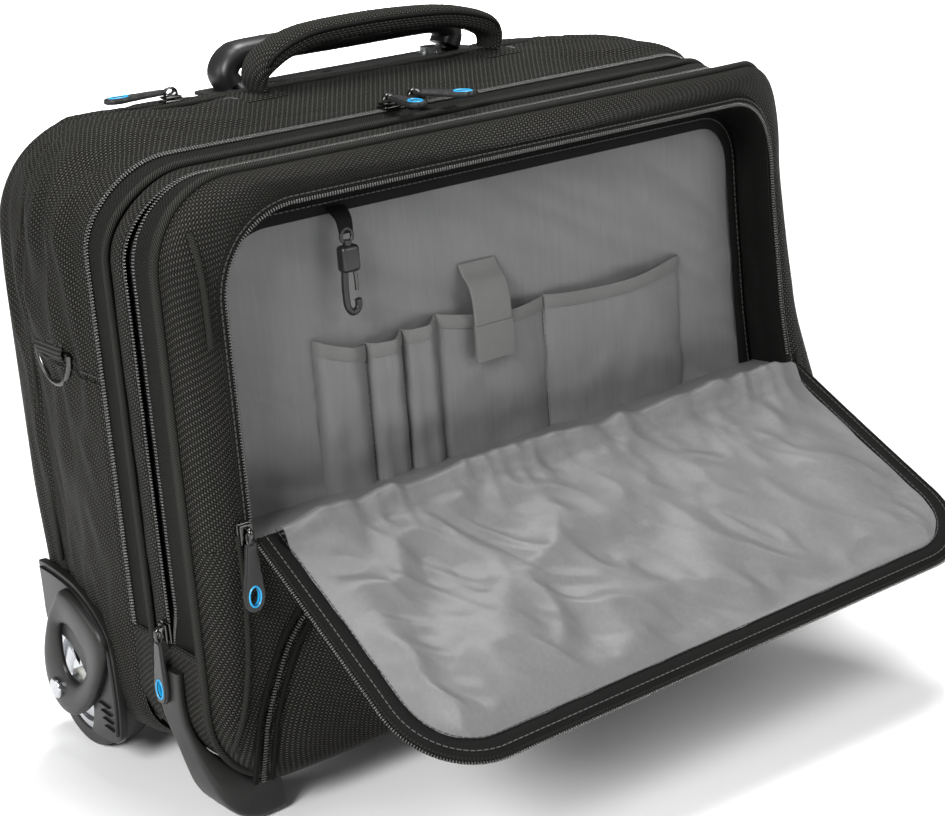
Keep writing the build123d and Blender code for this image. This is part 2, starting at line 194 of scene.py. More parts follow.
def makeMottleGroup():
    # slow colour variation on object coordinates
    group, given, result, do = newGroup(
        "mottle",
        [("Color", "NodeSocketColor", (0.05, 0.05, 0.05, 1)), ("Amount", floatKind, 0.25),
         ("Scale", floatKind, 18.0)],
        [("Color", "NodeSocketColor"), ("Value", floatKind)],
    )
    place = group.nodes.new("ShaderNodeTexCoord")
    cloud = group.nodes.new("ShaderNodeTexNoise")
    cloud.inputs["Detail"].default_value = 4.0
    group.links.new(place.outputs["Object"], cloud.inputs["Vector"])
    group.links.new(given.outputs["Scale"], cloud.inputs["Scale"])
    centred = do("SUBTRACT", cloud.outputs["Fac"], 0.5)
    gain = do("MULTIPLY_ADD", do("MULTIPLY", centred, given.outputs["Amount"]), 2.0, 1.0)
    scaled = group.nodes.new("ShaderNodeVectorMath")
    scaled.operation = "SCALE"
    group.links.new(given.outputs["Color"], scaled.inputs[0])
    group.links.new(gain, scaled.inputs["Scale"])
    group.links.new(scaled.outputs[0], result.inputs["Color"])
    group.links.new(cloud.outputs["Fac"], result.inputs["Value"])
    return group


clothGloss = 0.07
weaveGroup = makeWeaveGroup()
ribGroup = makeRibGroup()
mottleGroup = makeMottleGroup()


def newMaterial(name, roughness, gloss, metallic=0.0, coat=0.0):
    material = bpy.data.materials.new(name)
    material.use_nodes = True
    shader = material.node_tree.nodes["Principled BSDF"]
    for label, value in (("Roughness", roughness), ("Metallic", metallic), ("Specular IOR Level", gloss),
                         ("Coat Weight", coat), ("Coat Roughness", 0.25)):
        shader.inputs[label].default_value = value
    return material, material.node_tree, shader


def addMottle(tree, color, amount, scale):
    node = tree.nodes.new("ShaderNodeGroup")
    node.node_tree = mottleGroup
    node.inputs["Color"].default_value = (*color, 1)
    node.inputs["Amount"].default_value = amount
    node.inputs["Scale"].default_value = scale
    return node


def addBump(tree, shader, height, distance, under=None):
    bump = tree.nodes.new("ShaderNodeBump")
    bump.inputs["Distance"].default_value = distance
    tree.links.new(height, bump.inputs["Height"])
    if under:
        tree.links.new(under, bump.inputs["Normal"])
    tree.links.new(bump.outputs[0], shader.inputs["Normal"])
    return bump.outputs[0]


def noiseHeight(tree, scale, stretch=(1, 1, 1)):
    place = tree.nodes.new("ShaderNodeTexCoord")
    mapping = tree.nodes.new("ShaderNodeMapping")
    mapping.inputs["Scale"].default_value = stretch
    cloud = tree.nodes.new("ShaderNodeTexNoise")
    cloud.inputs["Scale"].default_value = scale
    cloud.inputs["Detail"].default_value = 2.0
    tree.links.new(place.outputs["Object"], mapping.inputs["Vector"])
    tree.links.new(mapping.outputs[0], cloud.inputs["Vector"])
    return cloud.outputs["Fac"]


def mixColors(tree, factor, low, high):
    ramp = tree.nodes.new("ShaderNodeMix")
    ramp.data_type = "RGBA"
    tree.links.new(factor, ramp.inputs[0])
    for socket, value in ((ramp.inputs[6], low), (ramp.inputs[7], high)):
        if isinstance(value, tuple):
            socket.default_value = (*value, 1)
        else:
            tree.links.new(value, socket)
    return ramp.outputs[2]


def addThreads(tree, group, **settings):
    # a thread pattern that follows the UV map
    place = tree.nodes.new("ShaderNodeUVMap")
    place.uv_map = "UVMap"
    threads = tree.nodes.new("ShaderNodeGroup")
    threads.node_tree = group
    for label, value in settings.items():
        threads.inputs[label].default_value = value
    tree.links.new(place.outputs[0], threads.inputs["Vector"])
    return threads


def threadCloth(name, group, settings, seen, dark, crownHighlight, mottling, depth, roughness):
    material, tree, shader = newMaterial(name, roughness, clothGloss)
    threads = addThreads(tree, group, **settings)
    mottle = addMottle(tree, crownHighlight, *mottling)
    # base colour from painted shade in the thread gaps and grooves to the cloth's own colour with a painted
    # highlight on the thread crowns
    color = mixColors(tree, threads.outputs[seen], dark, mottle.outputs["Color"])
    tree.links.new(color, shader.inputs["Base Color"])
    addBump(tree, shader, threads.outputs["Height"], depth)
    return material


def wovenCloth(name, dark, crownHighlight, pitch, depth, roughness):
    settings = {"Pitch": pitch, "Fade": 0.64}
    return threadCloth(name, weaveGroup, settings, "ThreadShading", dark, crownHighlight, (0.2, 14.0), depth, roughness)


def ribbedCloth(name, dark, crownHighlight, pitch, slant, depth, roughness):
    # the colour follows the rib height: painted shade in the grooves, painted highlight on the ridges
    settings = {"Pitch": pitch, "Slant": slant}
    return threadCloth(name, ribGroup, settings, "Height", dark, crownHighlight, (0.25, 20.0), depth, roughness)


def grainedSolid(name, color, roughness, grain, depth, metallic=0.0, coat=0.0, gloss=0.5):
    material, tree, shader = newMaterial(name, roughness, gloss, metallic, coat)
    mottle = addMottle(tree, color, 0.15, 25.0)
    tree.links.new(mottle.outputs["Color"], shader.inputs["Base Color"])
    spread = calc(tree, "MULTIPLY_ADD", mottle.outputs["Value"], 0.2, roughness - 0.1)
    tree.links.new(spread, shader.inputs["Roughness"])
    addBump(tree, shader, noiseHeight(tree, grain), depth)
    return material


# in the woven and ribbed cloths the first colour is painted shade in the thread gaps, the second the cloth's
# own colour with a painted highlight on the thread crowns
finishes = {
    "cloth": wovenCloth("ballisticCloth", (0.0012, 0.0012, 0.001), (0.078, 0.077, 0.069),
                        0.0014, 0.001, 0.46),
    "tape": wovenCloth("zipTape", (0.001, 0.001, 0.001), (0.030, 0.030, 0.027),
                       0.00085, 0.0003, 0.55),
    "cord": ribbedCloth("pipingCord", (0.002, 0.002, 0.002), (0.034, 0.034, 0.03),
                        0.0015, 0.9, 0.0003, 0.55),
    "binding": ribbedCloth("grosgrain", (0.002, 0.002, 0.002), (0.008, 0.008, 0.0075),
                           0.0007, 0.0, 0.00015, 0.6),
    "webbing": ribbedCloth("webbing", (0.008, 0.008, 0.0075), (0.038, 0.038, 0.035),
                           0.0022, 0.0, 0.0005, 0.55),
    "greyTape": ribbedCloth("greyTape", (0.075, 0.075, 0.075), (0.17, 0.17, 0.165),
                            0.0011, 0.9, 0.00015, 0.5),
    "plastic": grainedSolid("mouldedPlastic", (0.011, 0.011, 0.0105), 0.4, 900.0, 0.00005, gloss=0.3),
    "gripPlastic": grainedSolid("gripPlastic", (0.007, 0.007, 0.007), 0.4, 500.0, 0.00003),
    "rubber": grainedSolid("tyreRubber", (0.018, 0.018, 0.018), 0.6, 700.0, 0.0001),
    "pull": grainedSolid("pullRubber", (0.016, 0.016, 0.016), 0.38, 400.0, 0.00004),
    "blue": grainedSolid("ringBlue", (0.010, 0.30, 0.60), 0.36, 400.0, 0.00003),
    "gunmetal": grainedSolid("gunmetal", (0.075, 0.075, 0.072), 0.24, 600.0, 0.00002, metallic=1.0),
    "chrome": grainedSolid("hubChrome", (0.5, 0.51, 0.53), 0.2, 300.0, 0.00001, metallic=1.0),
    "steel": grainedSolid("satinSteel", (0.55, 0.56, 0.57), 0.3, 500.0, 0.00002, metallic=1.0),
    "teeth": grainedSolid("coilTeeth", (0.055, 0.055, 0.052), 0.22, 300.0, 0.00002, coat=0.6),
    "thread": grainedSolid("thread", (0.03, 0.03, 0.028), 0.6, 900.0, 0.00003),
    "paleThread": grainedSolid("paleThread", (0.16, 0.16, 0.16), 0.6, 900.0, 0.00003),
    # painted shade: a near-black finish for the sheet inside the open front zip
    "dark": grainedSolid("zipGapShade", (0.004, 0.004, 0.004), 0.85, 300.0, 0.0001),
    "bush": grainedSolid("bushPlastic", (0.5, 0.5, 0.46), 0.45, 400.0, 0.00003),
}


def makeLining():
    # satin lining: fine threads and slow shade changes
    material, tree, shader = newMaterial("satinLining", 0.47, 0.5)
    ribs = addThreads(tree, ribGroup, Pitch=0.0007)
    mottle = addMottle(tree, (0.115, 0.115, 0.116), 0.2, 22.0)
    streaks = noiseHeight(tree, 500.0, (1, 1, 0.06))
    color = mixColors(tree, streaks, (0.085, 0.085, 0.086), mottle.outputs["Color"])
    tree.links.new(color, shader.inputs["Base Color"])
    first = addBump(tree, shader, ribs.outputs["Height"], 0.00006)
    addBump(tree, shader, streaks, 0.00008, under=first)
    return material


finishes["lining"] = makeLining()
print("finishes made")


# modelling helpers
def pick(piece):
    bpy.ops.object.select_all(action="DESELECT")
    piece.select_set(True)
    bpy.context.view_layer.objects.active = piece


def dress(piece, finish):
    piece.data.materials.clear()
    piece.data.materials.append(finishes[finish])
    return piece


def applyAll(piece):
    pick(piece)
    for modifier in list(piece.modifiers):
        bpy.ops.object.modifier_apply(modifier=modifier.name)


def smooth(piece, degrees=40):
    pick(piece)
    bpy.ops.object.shade_smooth_by_angle(angle=math.radians(degrees))


def edited(piece, *steps):
    # runs each (operator, settings) in edit mode on the whole mesh
    pick(piece)
    bpy.ops.object.mode_set(mode="EDIT")
    for step, settings in steps:
        bpy.ops.mesh.select_all(action="SELECT")
        step(**settings)
    bpy.ops.object.mode_set(mode="OBJECT")


def newShape(adder, name, **settings):
    bpy.ops.object.select_all(action="DESELECT")
    adder(**settings)
    piece = bpy.context.object
    piece.name = name
    return piece


def gridSheet(name, columns, rows, place, drop=None):
    # a flat grid whose points are set by place(u, v), with its UV map in metres along the cloth
    piece = newShape(bpy.ops.mesh.primitive_grid_add, name, size=1,
                     x_subdivisions=columns, y_subdivisions=rows)
    mesh = piece.data
    lattice = {}
    for vertex in mesh.vertices:
        key = (round((vertex.co.x + 0.5) * columns), round((vertex.co.y + 0.5) * rows))
        lattice[key] = vertex.index
        vertex.co = place(key[0] / columns, key[1] / rows)
    mesh.update()
    uvs = [Vector((0, 0))] * len(mesh.vertices)
    middle = rows // 2

    def gap(first, second):
        return (mesh.vertices[lattice[first]].co - mesh.vertices[lattice[second]].co).length

    run = 0.0
    for i in range(columns + 1):
        run += gap((i, middle), (i - 1, middle)) if i else 0.0
        rise = 0.0
        for j in range(rows + 1):
            rise += gap((i, j), (i, j - 1)) if j else 0.0
            uvs[lattice[i, j]] = Vector((run, rise))
    layer = mesh.uv_layers.active
    for loop in mesh.loops:
        layer.data[loop.index].uv = uvs[loop.vertex_index]
    if drop:
        work = bmesh.new()
        work.from_mesh(mesh)
        gone = [face for face in work.faces if drop(face.calc_center_median())]
        bmesh.ops.delete(work, geom=gone, context="FACES")
        work.to_mesh(mesh)
        work.free()
    return piece


def thicken(piece, thickness, offset=-1.0):
    solid = piece.modifiers.new("thickness", "SOLIDIFY")
    solid.thickness = thickness / 1000
    solid.offset = offset
    applyAll(piece)


def roundEdges(piece, width, segments=3, degrees=30):
    edge = piece.modifiers.new("edges", "BEVEL")
    edge.width = width / 1000
    edge.segments = segments
    edge.limit_method = "ANGLE"
    edge.angle_limit = math.radians(degrees)
    applyAll(piece)


def facing(direction):
    return lambda point: direction


def facingOut(piece, outward):
    # the faces of an open sheet are turned to the side that outward(point) gives
    votes = sum(1 if p.normal.dot(outward(p.center)) > 0 else -1 for p in piece.data.polygons)
    if votes < 0:
        edited(piece, (bpy.ops.mesh.flip_normals, {}))


mergePoints = (bpy.ops.mesh.remove_doubles, {"threshold": 0.00001})


def closeUp(piece):
    edited(piece, mergePoints, (bpy.ops.mesh.fill_holes, {"sides": 0}),
           (bpy.ops.mesh.normals_make_consistent, {"inside": False}))


def cloth(name, columns, rows, place, outward, finish="cloth", thickness=1.8, drop=None, join=False):
    piece = gridSheet(name, columns, rows, place, drop)
    if join:
        edited(piece, mergePoints)
    facingOut(piece, outward)
    thicken(piece, thickness)
    smooth(piece)
    return dress(piece, finish)


def tangents(path):
    return [(path[min(i + 1, len(path) - 1)] - path[max(i - 1, 0)]).normalized() for i in range(len(path))]


def tube(name, path, across, width, height, sides=10, power=1.0):
    # a round or flat closed tube; across is its sideways direction, and a size may change along it
    last = len(path) - 1
    tall = [heading.cross(across).normalized() for heading in tangents(path)]
    size = [[value(i / last) if callable(value) else value for value in (width, height)]
            for i in range(last + 1)]

    def place(u, v):
        i = round(u * last)
        angle = 2 * math.pi * v
        c, s = math.cos(angle), math.sin(angle)
        a = math.copysign(abs(c) ** power, c) * size[i][0] / 2000
        b = math.copysign(abs(s) ** power, s) * size[i][1] / 2000
        return path[i] + across * a + tall[i] * b

    piece = gridSheet(name, last, sides, place)
    closeUp(piece)
    return piece


def sweep(name, path, across, width, height, finish, sides=10, power=1.0):
    piece = tube(name, path, across, width, height, sides, power)
    smooth(piece, 60)
    return dress(piece, finish)


def cordAlong(name, path, radius, finish="cord", across=depthAxis):
    return sweep(name, path, across, 2 * radius, 2 * radius, finish, 8)


def curveSpot(p0, p1, p2, p3, t):
    # a Catmull-Rom curve through given points
    return 0.5 * (2 * p1 + (p2 - p0) * t + (2 * p0 - 5 * p1 + 4 * p2 - p3) * t * t
                  + (3 * p1 - p0 - 3 * p2 + p3) * t ** 3)


def smoothPath(points, steps=8):
    found = []
    last = len(points) - 1
    for i in range(last):
        corners = (points[max(i - 1, 0)], points[i], points[i + 1], points[min(i + 2, last)])
        found += [curveSpot(*corners, j / steps) for j in range(steps)]
    found.append(points[-1].copy())
    return found


def closedCurve(points, steps=7):
    found = []
    count = len(points)
    for i in range(count):
        corners = [Vector(points[(i + k) % count]) for k in (-1, 0, 1, 2)]
        found += [curveSpot(*corners, j / steps) for j in range(steps)]
    return found


def makeBead(length, width, height, soft=True):
    bead = newShape(bpy.ops.mesh.primitive_cube_add, "bead", size=1)
    for vertex in bead.data.vertices:
        vertex.co = Vector((vertex.co.x * length, vertex.co.y * width, vertex.co.z * height)) / 1000
    if soft:
        rounding = bead.modifiers.new("round", "SUBSURF")
        rounding.levels = rounding.render_levels = 1
        applyAll(bead)
    points = [vertex.co.copy() for vertex in bead.data.vertices]
    faces = [tuple(p.vertices) for p in bead.data.polygons]
    bpy.data.objects.remove(bead)
    return points, faces


def beadRow(name, places, bead, finish):
    # one mesh of many small copies; places hold (position, along, up)
    points, faces = bead
    allPoints, allFaces = [], []
    for position, along, up in places:
        side = up.cross(along).normalized()
        base = len(allPoints)
        allPoints += [position + along * p.x + side * p.y + up * p.z for p in points]
        allFaces += [tuple(base + i for i in f) for f in faces]
    mesh = bpy.data.meshes.new(name)
    mesh.from_pydata(allPoints, [], allFaces)
    piece = bpy.data.objects.new(name, mesh)
    bpy.context.scene.collection.objects.link(piece)
    smooth(piece, 80)
    return dress(piece, finish)


def walk(path, step, start=0.0):
    # equally spaced (position, heading) along a polyline, step in millimetres
    step /= 1000
    found, want, gone = [], start / 1000, 0.0
    for first, second in zip(path, path[1:]):
        run = (second - first).length
        while run > 0 and want <= gone + run:
            found.append((first.lerp(second, (want - gone) / run), (second - first).normalized()))
            want += step
        gone += run
    return found


# the case's outline
foldCut = 98.5      # height where the sections that open part from the lower body
shape = {
    "frontHalf": 219.0, "frontTop": 341.0, "frontRadius": 44.0, "frontY": 12.0,
    "rearHalf": 220.0, "rearTop": 352.0, "rearRadius": 52.0, "rearY": 84.0,
    "low": 25.0, "lowRadius": 44.0,
}


def outlineAt(y):
    share = clamp((y - shape["frontY"]) / (shape["rearY"] - shape["frontY"]))
    found = {key: shape["front" + key.capitalize()] * (1 - share) + shape["rear" + key.capitalize()] * share
             for key in ("half", "top", "radius")}
    return {**found, "low": foldCut}


def flipped(found):
    x, z, nx, nz = found
    return -x, z, -nx, nz


def archSpot(k, o):
    # k runs 0 to 1 up the left leg, over the top and down the right leg; gives x, z and the outward normal
    if k > 0.5:
        return flipped(archSpot(1 - k, o))
    leg, bar = o["top"] - o["radius"] - o["low"], o["half"] - o["radius"]
    legShare, arcShare = 0.27, 0.11
    if k < legShare:
        return -o["half"], o["low"] + leg * k / legShare, -1.0, 0.0
    if k < legShare + arcShare:
        angle = (k - legShare) / arcShare * math.pi / 2
        nx, nz = -math.cos(angle), math.sin(angle)
        return -bar + o["radius"] * nx, o["top"] - o["radius"] + o["radius"] * nz, nx, nz
    return -bar * (0.5 - k) / (0.5 - legShare - arcShare), o["top"], 0.0, 1.0


def bowlSpot(k, y):
    # the lower body: k runs 0 to 1 down the left side, under the bottom and up the right side
    if k > 0.5:
        return flipped(bowlSpot(1 - k, y))
    half, low, corner = outlineAt(y)["half"], shape["low"], shape["lowRadius"]
    leg, arc, run = foldCut - low - corner, corner * math.pi / 2, half - corner
    s = k * 2 * (leg + arc + run)
    if s < leg:
        return -half, foldCut - s, -1.0, 0.0
    if s < leg + arc:
        angle = (s - leg) / corner
        nx, nz = -math.cos(angle), -math.sin(angle)
        return -run + corner * nx, low + corner + corner * nz, nx, nz
    return -run + (s - leg - arc), low, 0.0, -1.0


def lifted(found, y, lift):
    # the spot that stands this far out from an outline
    x, z, nx, nz = found
    return spot(x + nx * lift, y, z + nz * lift)


def archPath(y, lift=0.0, start=0.0, end=1.0, yAt=None):
    path = []
    for i in range(221):
        k = start + (end - start) * i / 220
        here = yAt(k) if yAt else y
        path.append(lifted(archSpot(k, outlineAt(here)), here, lift))
    return path


def bowlPath(y, lift=0.0):
    return [lifted(bowlSpot(i / 120, y), y, lift) for i in range(121)]


caseCentre = spot(0, 90, 190)


def fromCentre(point):
    return point - caseCentre


# points at the fold of the two sections that open; bendLow and bendHigh only bake a piece's transform
foldStart, foldEnd = spot(0, 0, 84), spot(0, 0, 97)
frontStart, frontEnd = spot(0, 0, 100), spot(0, 0, 125)


def bendLow(piece):
    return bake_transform(piece)


def bendHigh(piece):
    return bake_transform(piece)


def splitAtFold(piece):
    # cuts a front piece in two at the fold; the lower half is new
    lower = piece.copy()
    lower.data = piece.data.copy()
    lower.name = piece.name + "Low"
    bpy.context.scene.collection.objects.link(lower)
    for half, above in ((piece, True), (lower, False)):
        cut = {"plane_co": spot(0, 0, foldCut), "plane_no": (0, 0, 1), "use_fill": True,
               "clear_inner": above, "clear_outer": not above}
        edited(half, (bpy.ops.mesh.bisect, cut))
    bendHigh(piece)
    bendLow(lower)
    return piece, lower


# rear body
rearBody = {"tuck": 1.5, "bulge": 3.0, "belly": 2.6, "crease": 1.5, "from": 82.0, "to": 186.0,
            "wellX": 192.0, "wellY": 116.0, "wellZ": 97.0}
rearOutline = {"half": 220.0, "low": 25.0, "top": 352.0, "radius": 52.0, "corner": 34.0}


def closedSpot(k, half, low, top, radius, corner):
    # the whole outline as a closed loop from the bottom's middle, left side first
    if k > 0.5:
        return flipped(closedSpot(1 - k, half, low, top, radius, corner))
    leg = top - radius - low - corner
    parts = [half - corner, corner * math.pi / 2, leg, radius * math.pi / 2, half - radius]
    s = k * 2 * sum(parts)
    if s < parts[0]:
        return -s, low, 0.0, -1.0
    if s < sum(parts[:2]):
        angle = (s - parts[0]) / corner
        nx, nz = -math.sin(angle), -math.cos(angle)
        return -(half - corner) + corner * nx, low + corner + corner * nz, nx, nz
    if s < sum(parts[:3]):
        return -half, low + corner + s - sum(parts[:2]), -1.0, 0.0
    if s < sum(parts[:4]):
        angle = (s - sum(parts[:3])) / radius
        nx, nz = -math.cos(angle), math.sin(angle)
        return -(half - radius) + radius * nx, top - radius + radius * nz, nx, nz
    return -(half - radius) + s - sum(parts[:4]), top, 0.0, 1.0


def rearSeamY(z):
    # the rear piping runs nearer to the back on the sides than on the top
    return 149.5 + 9.0 * ease((330 - z) / 110)


def rearLift(y, x, z):
    lift = rearBody["bulge"] * math.sin(math.pi * clamp((y - 82) / 66)) ** 0.7
    lift -= rearBody["tuck"] * (1 - ease((y - 82) / 5))
    lift -= 1.9 * math.exp(-((y - rearSeamY(z) + 3.5) / 2.8) ** 2)
    if y > 172:
        lift -= 9.0 * (1 - math.sqrt(1 - clamp((y - 172) / 14) ** 2))
    fade = ease((y - 88) / 12) * ease((178 - y) / 10)
    lift += fade * rearBody["crease"] * rough(x, y, z, 46, 3.1)
    lift += rearBody["belly"] * ease((y - 120) / 35) * ease((z - 95) / 70) * (1 - ease((z - 270) / 70))
    # long soft folds, strongest round the upper corners and by the rings
    corner = ease((z - 215) / 60) * ease((abs(x) - 95) / 60)
    fold = 1 - math.sqrt(rough(x * 0.5 + y * 1.2, 0, z * 0.32 - y * 0.5, 23, 7.7) ** 2 * 5.5 + 0.03)
    lift += fade * (1.6 + 3.4 * corner) * max(fold, -0.4)
    lift += fade * 1.1 * rough(x + 0.6 * y, y * 1.6, z * 0.5, 14, 2.2)
    if z > 345:
        lift = min(lift, 2.2 + (2.6 if y < 145 else 0.0) * ease((abs(x) - 92) / 25))
    return lift


def placeRear(u, v):
    here = closedSpot(u, **rearOutline)
    y = rearBody["from"] + (rearBody["to"] - rearBody["from"]) * v
    return lifted(here, y, rearLift(y, here[0], here[1]))


def inWell(point):
    x, y, z = point.x * 1000, (point.y - frontFaceY) * 1000, point.z * 1000
    return abs(x) > rearBody["wellX"] and y > rearBody["wellY"] and z < rearBody["wellZ"]


rear = cloth("rearBody", 300, 40, placeRear, fromCentre, drop=inWell, join=True)
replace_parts(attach(rear, "case"), "rear_shell")


def halfAt(z, half, low, top, radius, corner):
    if z > top - radius:
        return half - radius + math.sqrt(max(radius ** 2 - (z - top + radius) ** 2, 0))
    if z < low + corner:
        return half - corner + math.sqrt(max(corner ** 2 - (low + corner - z) ** 2, 0))
    return half


def onPanel(u, z, half, low, top, radius, corner=0.1):
    # the x of a point at this height of a rounded panel, and its distance from the sides and the top
    wide = halfAt(z, half, low, top, radius, corner)
    x = wide * (2 * u - 1)
    return x, min(wide - abs(x), top - z)


def crowded(v, low, top):
    # heights that stand closer together towards both ends
    return low + (top - low) * (0.5 - 0.5 * math.cos(math.pi * v))


backOutline = {"half": 211.5, "low": 33.5, "top": 343.5, "radius": 44, "corner": 26}
backSeams = (110, 190, 270)


def placeBack(u, v):
    z = crowded(v, backOutline["low"], backOutline["top"])
    x, border = onPanel(u, z, **backOutline)
    border = min(border, z - backOutline["low"])
    y = 185.0 + 1.6 * ease(border / 14) - 1.3 * math.exp(-((border - 16) / 2.0) ** 2)
    for seam in backSeams:
        y -= 1.1 * ease(border / 30) * math.exp(-((z - seam) / 2.2) ** 2)
    y += 0.5 * rough(x, 0, z, 40, 5.0)
    return spot(x, y, z)


def inBackWell(point):
    return abs(point.x) > 0.192 and point.z < 0.095


back = cloth("backPanel", 90, 90, placeBack, facing(depthAxis), drop=inBackWell)
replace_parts(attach(back, "case"), "back_panel")

# lower body under the sections that open
lowerBody = {"from": 12.0, "to": 83.0}


def placeLower(u, v):
    y = lowerBody["from"] + (lowerBody["to"] - lowerBody["from"]) * v
    here = bowlSpot(u, y)
    lift = math.sin(math.pi * clamp((y - 62) / 20))
    lift += 1.2 * math.sin(math.pi * clamp((y - 14) / 44)) ** 0.8
    lift -= 1.4 * math.exp(-((y - 57) / 2.5) ** 2) + 1.2 * math.exp(-((y - 15.5) / 2.2) ** 2)
    lift += 0.7 * rough(here[0], y, here[1], 24, 9.0) * ease((here[1] - 27) / 6)
    return lifted(here, y, lift)


lower = cloth("lowerBody", 150, 30, placeLower, fromCentre)
bendLow(lower)
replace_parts(lower, "base_shell", "fold_gusset")
print("body made")


# bands, tapes and cords over the arch
def band(name, y0, y1, lift, finish, rows=8):
    def place(u, v):
        y = y0 + (y1 - y0) * v
        here = archSpot(u, outlineAt(y))
        return lifted(here, y, lift(v, here[0], y, here[1]))
    return cloth(name, 220, rows, place, fromCentre, finish, 1.4)


def flatTape(v, x, y, z):
    return -0.4 - 0.7 * math.sin(math.pi * v)


def puffyBand(v, x, y, z):
    return -1.0 + 2.4 * math.sin(math.pi * clamp(v * 0.96 + 0.02)) ** 0.55 + 0.5 * rough(x, y, z, 20, 1.3)


gapRows = {"open": 8.6, "closed": 2.6}


def zipGap(k):
    # the front zip stands open along the left side and closes over the top-left corner
    wider = gapRows["open"] - gapRows["closed"]
    return gapRows["closed"] + wider * ease((0.40 - k) / 0.13) * ease((k - 0.002) / 0.03)


def frontRowY(k):
    return 42.5 - zipGap(k)


def placeFrontTape(u, v):
    y = 14.0 + (frontRowY(u) - 1.2 - 14.0) * v
    here = archSpot(u, outlineAt(y))
    return lifted(here, y, -0.3 - 1.1 * math.sin(math.pi * v) + 0.4 * rough(here[0], y, here[1], 26, 4.4))


frontTape = cloth("frontTape", 220, 8, placeFrontTape, fromCentre, "tape", 1.2)
bendHigh(frontTape)
midBand = band("midBand", 43.8, 57.6, puffyBand, "cloth", rows=10)
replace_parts(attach(midBand, "main_front"), "mid_shell")
mainTape = band("mainTape", 62.2, 79.2, flatTape, "tape")
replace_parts(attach(mainTape, "main_front"), "mid_zip_tapes")


# painted shade: a near-black sheet inside the open front zip, standing in for the shade in the gap
def placeZipGapShade(u, v):
    y = 30.0 + 17.0 * v
    return lifted(archSpot(0.004 + 0.992 * u, outlineAt(y)), y, -7.0 + 2.0 * math.cos(2 * math.pi * v))


zipGapShadeSheet = cloth("zipGapShadeSheet", 160, 8, placeZipGapShade, fromCentre, "dark", 0.8)
spot(0, 44, 200)
spot(0, 34, 200)
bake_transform(zipGapShadeSheet)


def pipe(name, y, lift, radius, body, finish="cord"):
    upper = cordAlong(name, archPath(y, lift), radius, finish)
    return bendHigh(upper) if body == "front_section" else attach(upper, body)


pipingFront = pipe("pipingFront", 12.0, 1.0, 2.1, "front_section")
pipe("pipingFrontFold", 16.2, 0.2, 1.5, "front_section")
pipingMid = pipe("pipingMid", 60.0, 1.0, 2.1, "main_front")
pipe("pipingMidFold", 63.8, 0.0, 1.3, "main_front", "tape")
for label, y, lift, radius in (("pipingFrontBase", 12.0, 1.0, 2.1), ("pipingFoldBase", 16.2, 0.2, 1.5),
                               ("pipingMidBase", 60.0, 1.0, 2.1)):
    bendLow(cordAlong(label, bowlPath(y, lift), radius))
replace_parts(pipingFront, "piping_front")
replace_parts(pipingMid, "piping_mid")


def rearPipePath():
    found = [closedSpot(0.17 + 0.66 * i / 240, **rearOutline) for i in range(241)]
    return [lifted(here, rearSeamY(here[1]), 1.2) for here in found if here[1] >= 112]


pipingRear = cordAlong("pipingRear", rearPipePath(), 1.7)
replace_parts(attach(pipingRear, "case"), "piping_rear")

# the long zips
coil = {"pitch": 1.65, "length": 1.15, "width": 3.51, "height": 1.80, "ends": (0.004, 0.996)}
coilBead = makeBead(coil["length"], coil["width"], coil["height"])


def coilRow(name, y, lift, body, shift=0.0, yAt=None):
    path = archPath(y, lift, *coil["ends"], yAt)
    places = [(position, along, outOfArch(position)) for position, along in walk(path, coil["pitch"], shift)]
    row = beadRow(name, places, coilBead, "teeth")
    return bendHigh(row) if body == "front_section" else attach(row, body)


def outOfArch(position):
    # the outward direction at a point of the arch, without its depth
    x, z = position.x * 1000, position.z * 1000
    bar, knee = 168.0, 300.0
    if z < knee:
        return Vector((math.copysign(1, x), 0, 0))
    if abs(x) < bar:
        return Vector((0, 0, 1))
    return Vector((x - math.copysign(bar, x), 0, z - knee)).normalized()


coilRow("mainTeethFront", 79.6, 0.3, "main_front")
mainTeethRear = coilRow("mainTeethRear", 81.8, 0.3, "case", 0.8)
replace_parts(mainTeethRear, "case_zip_tapes")
coilRow("frontTeethRear", 42.6, 0.2, "main_front")
coilRow("frontTeethFront", 0, 0.2, "front_section", 0.8, frontRowY)
print("long zips made")

# front face around the organizer
opening = {"half": 191.0, "top": 324.0, "radius": 44.0, "low": 160.0}
faceEdge = {**opening, "half": 194.5, "top": 327.5, "radius": 47.0}
faceRim = {**opening, "half": 219.0, "top": 341.0}
faceRound = 12.0


def facePuff(distance, span):
    # depth of the face behind the front plane, from its rim inwards
    if distance < faceRound:
        return faceRound * (1 - math.sqrt(1 - (1 - distance / faceRound) ** 2)) - 1.6 * distance / faceRound
    return -1.6 + 2.2 * ease((distance - faceRound) / max(span - faceRound, 1)) ** 3


def placeFace(u, v):
    x0, z0 = archSpot(u, faceRim)[:2]
    x1, z1 = archSpot(u, faceEdge)[:2]
    span = math.hypot(x1 - x0, z1 - z0)
    x, z = x0 + (x1 - x0) * v, z0 + (z1 - z0) * v
    y = facePuff(span * v, span) + 0.7 * rough(x, 0, z, 30, 2.2) * math.sin(math.pi * v)
    return spot(x, y, z)


forward = facing(-depthAxis)
face = cloth("frontFace", 260, 14, placeFace, forward)
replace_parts(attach(face, "front_section"), "front_face", "front_shell")

lowPanel = {"low": 24.0, "high": 160.0, "half": 219.0, "corner": 46.0}
pocketEdge = [(-150, 119), (-163, 113), (-176, 100), (-186, 82), (-193, 64), (-197, 48), (-199, 30)]


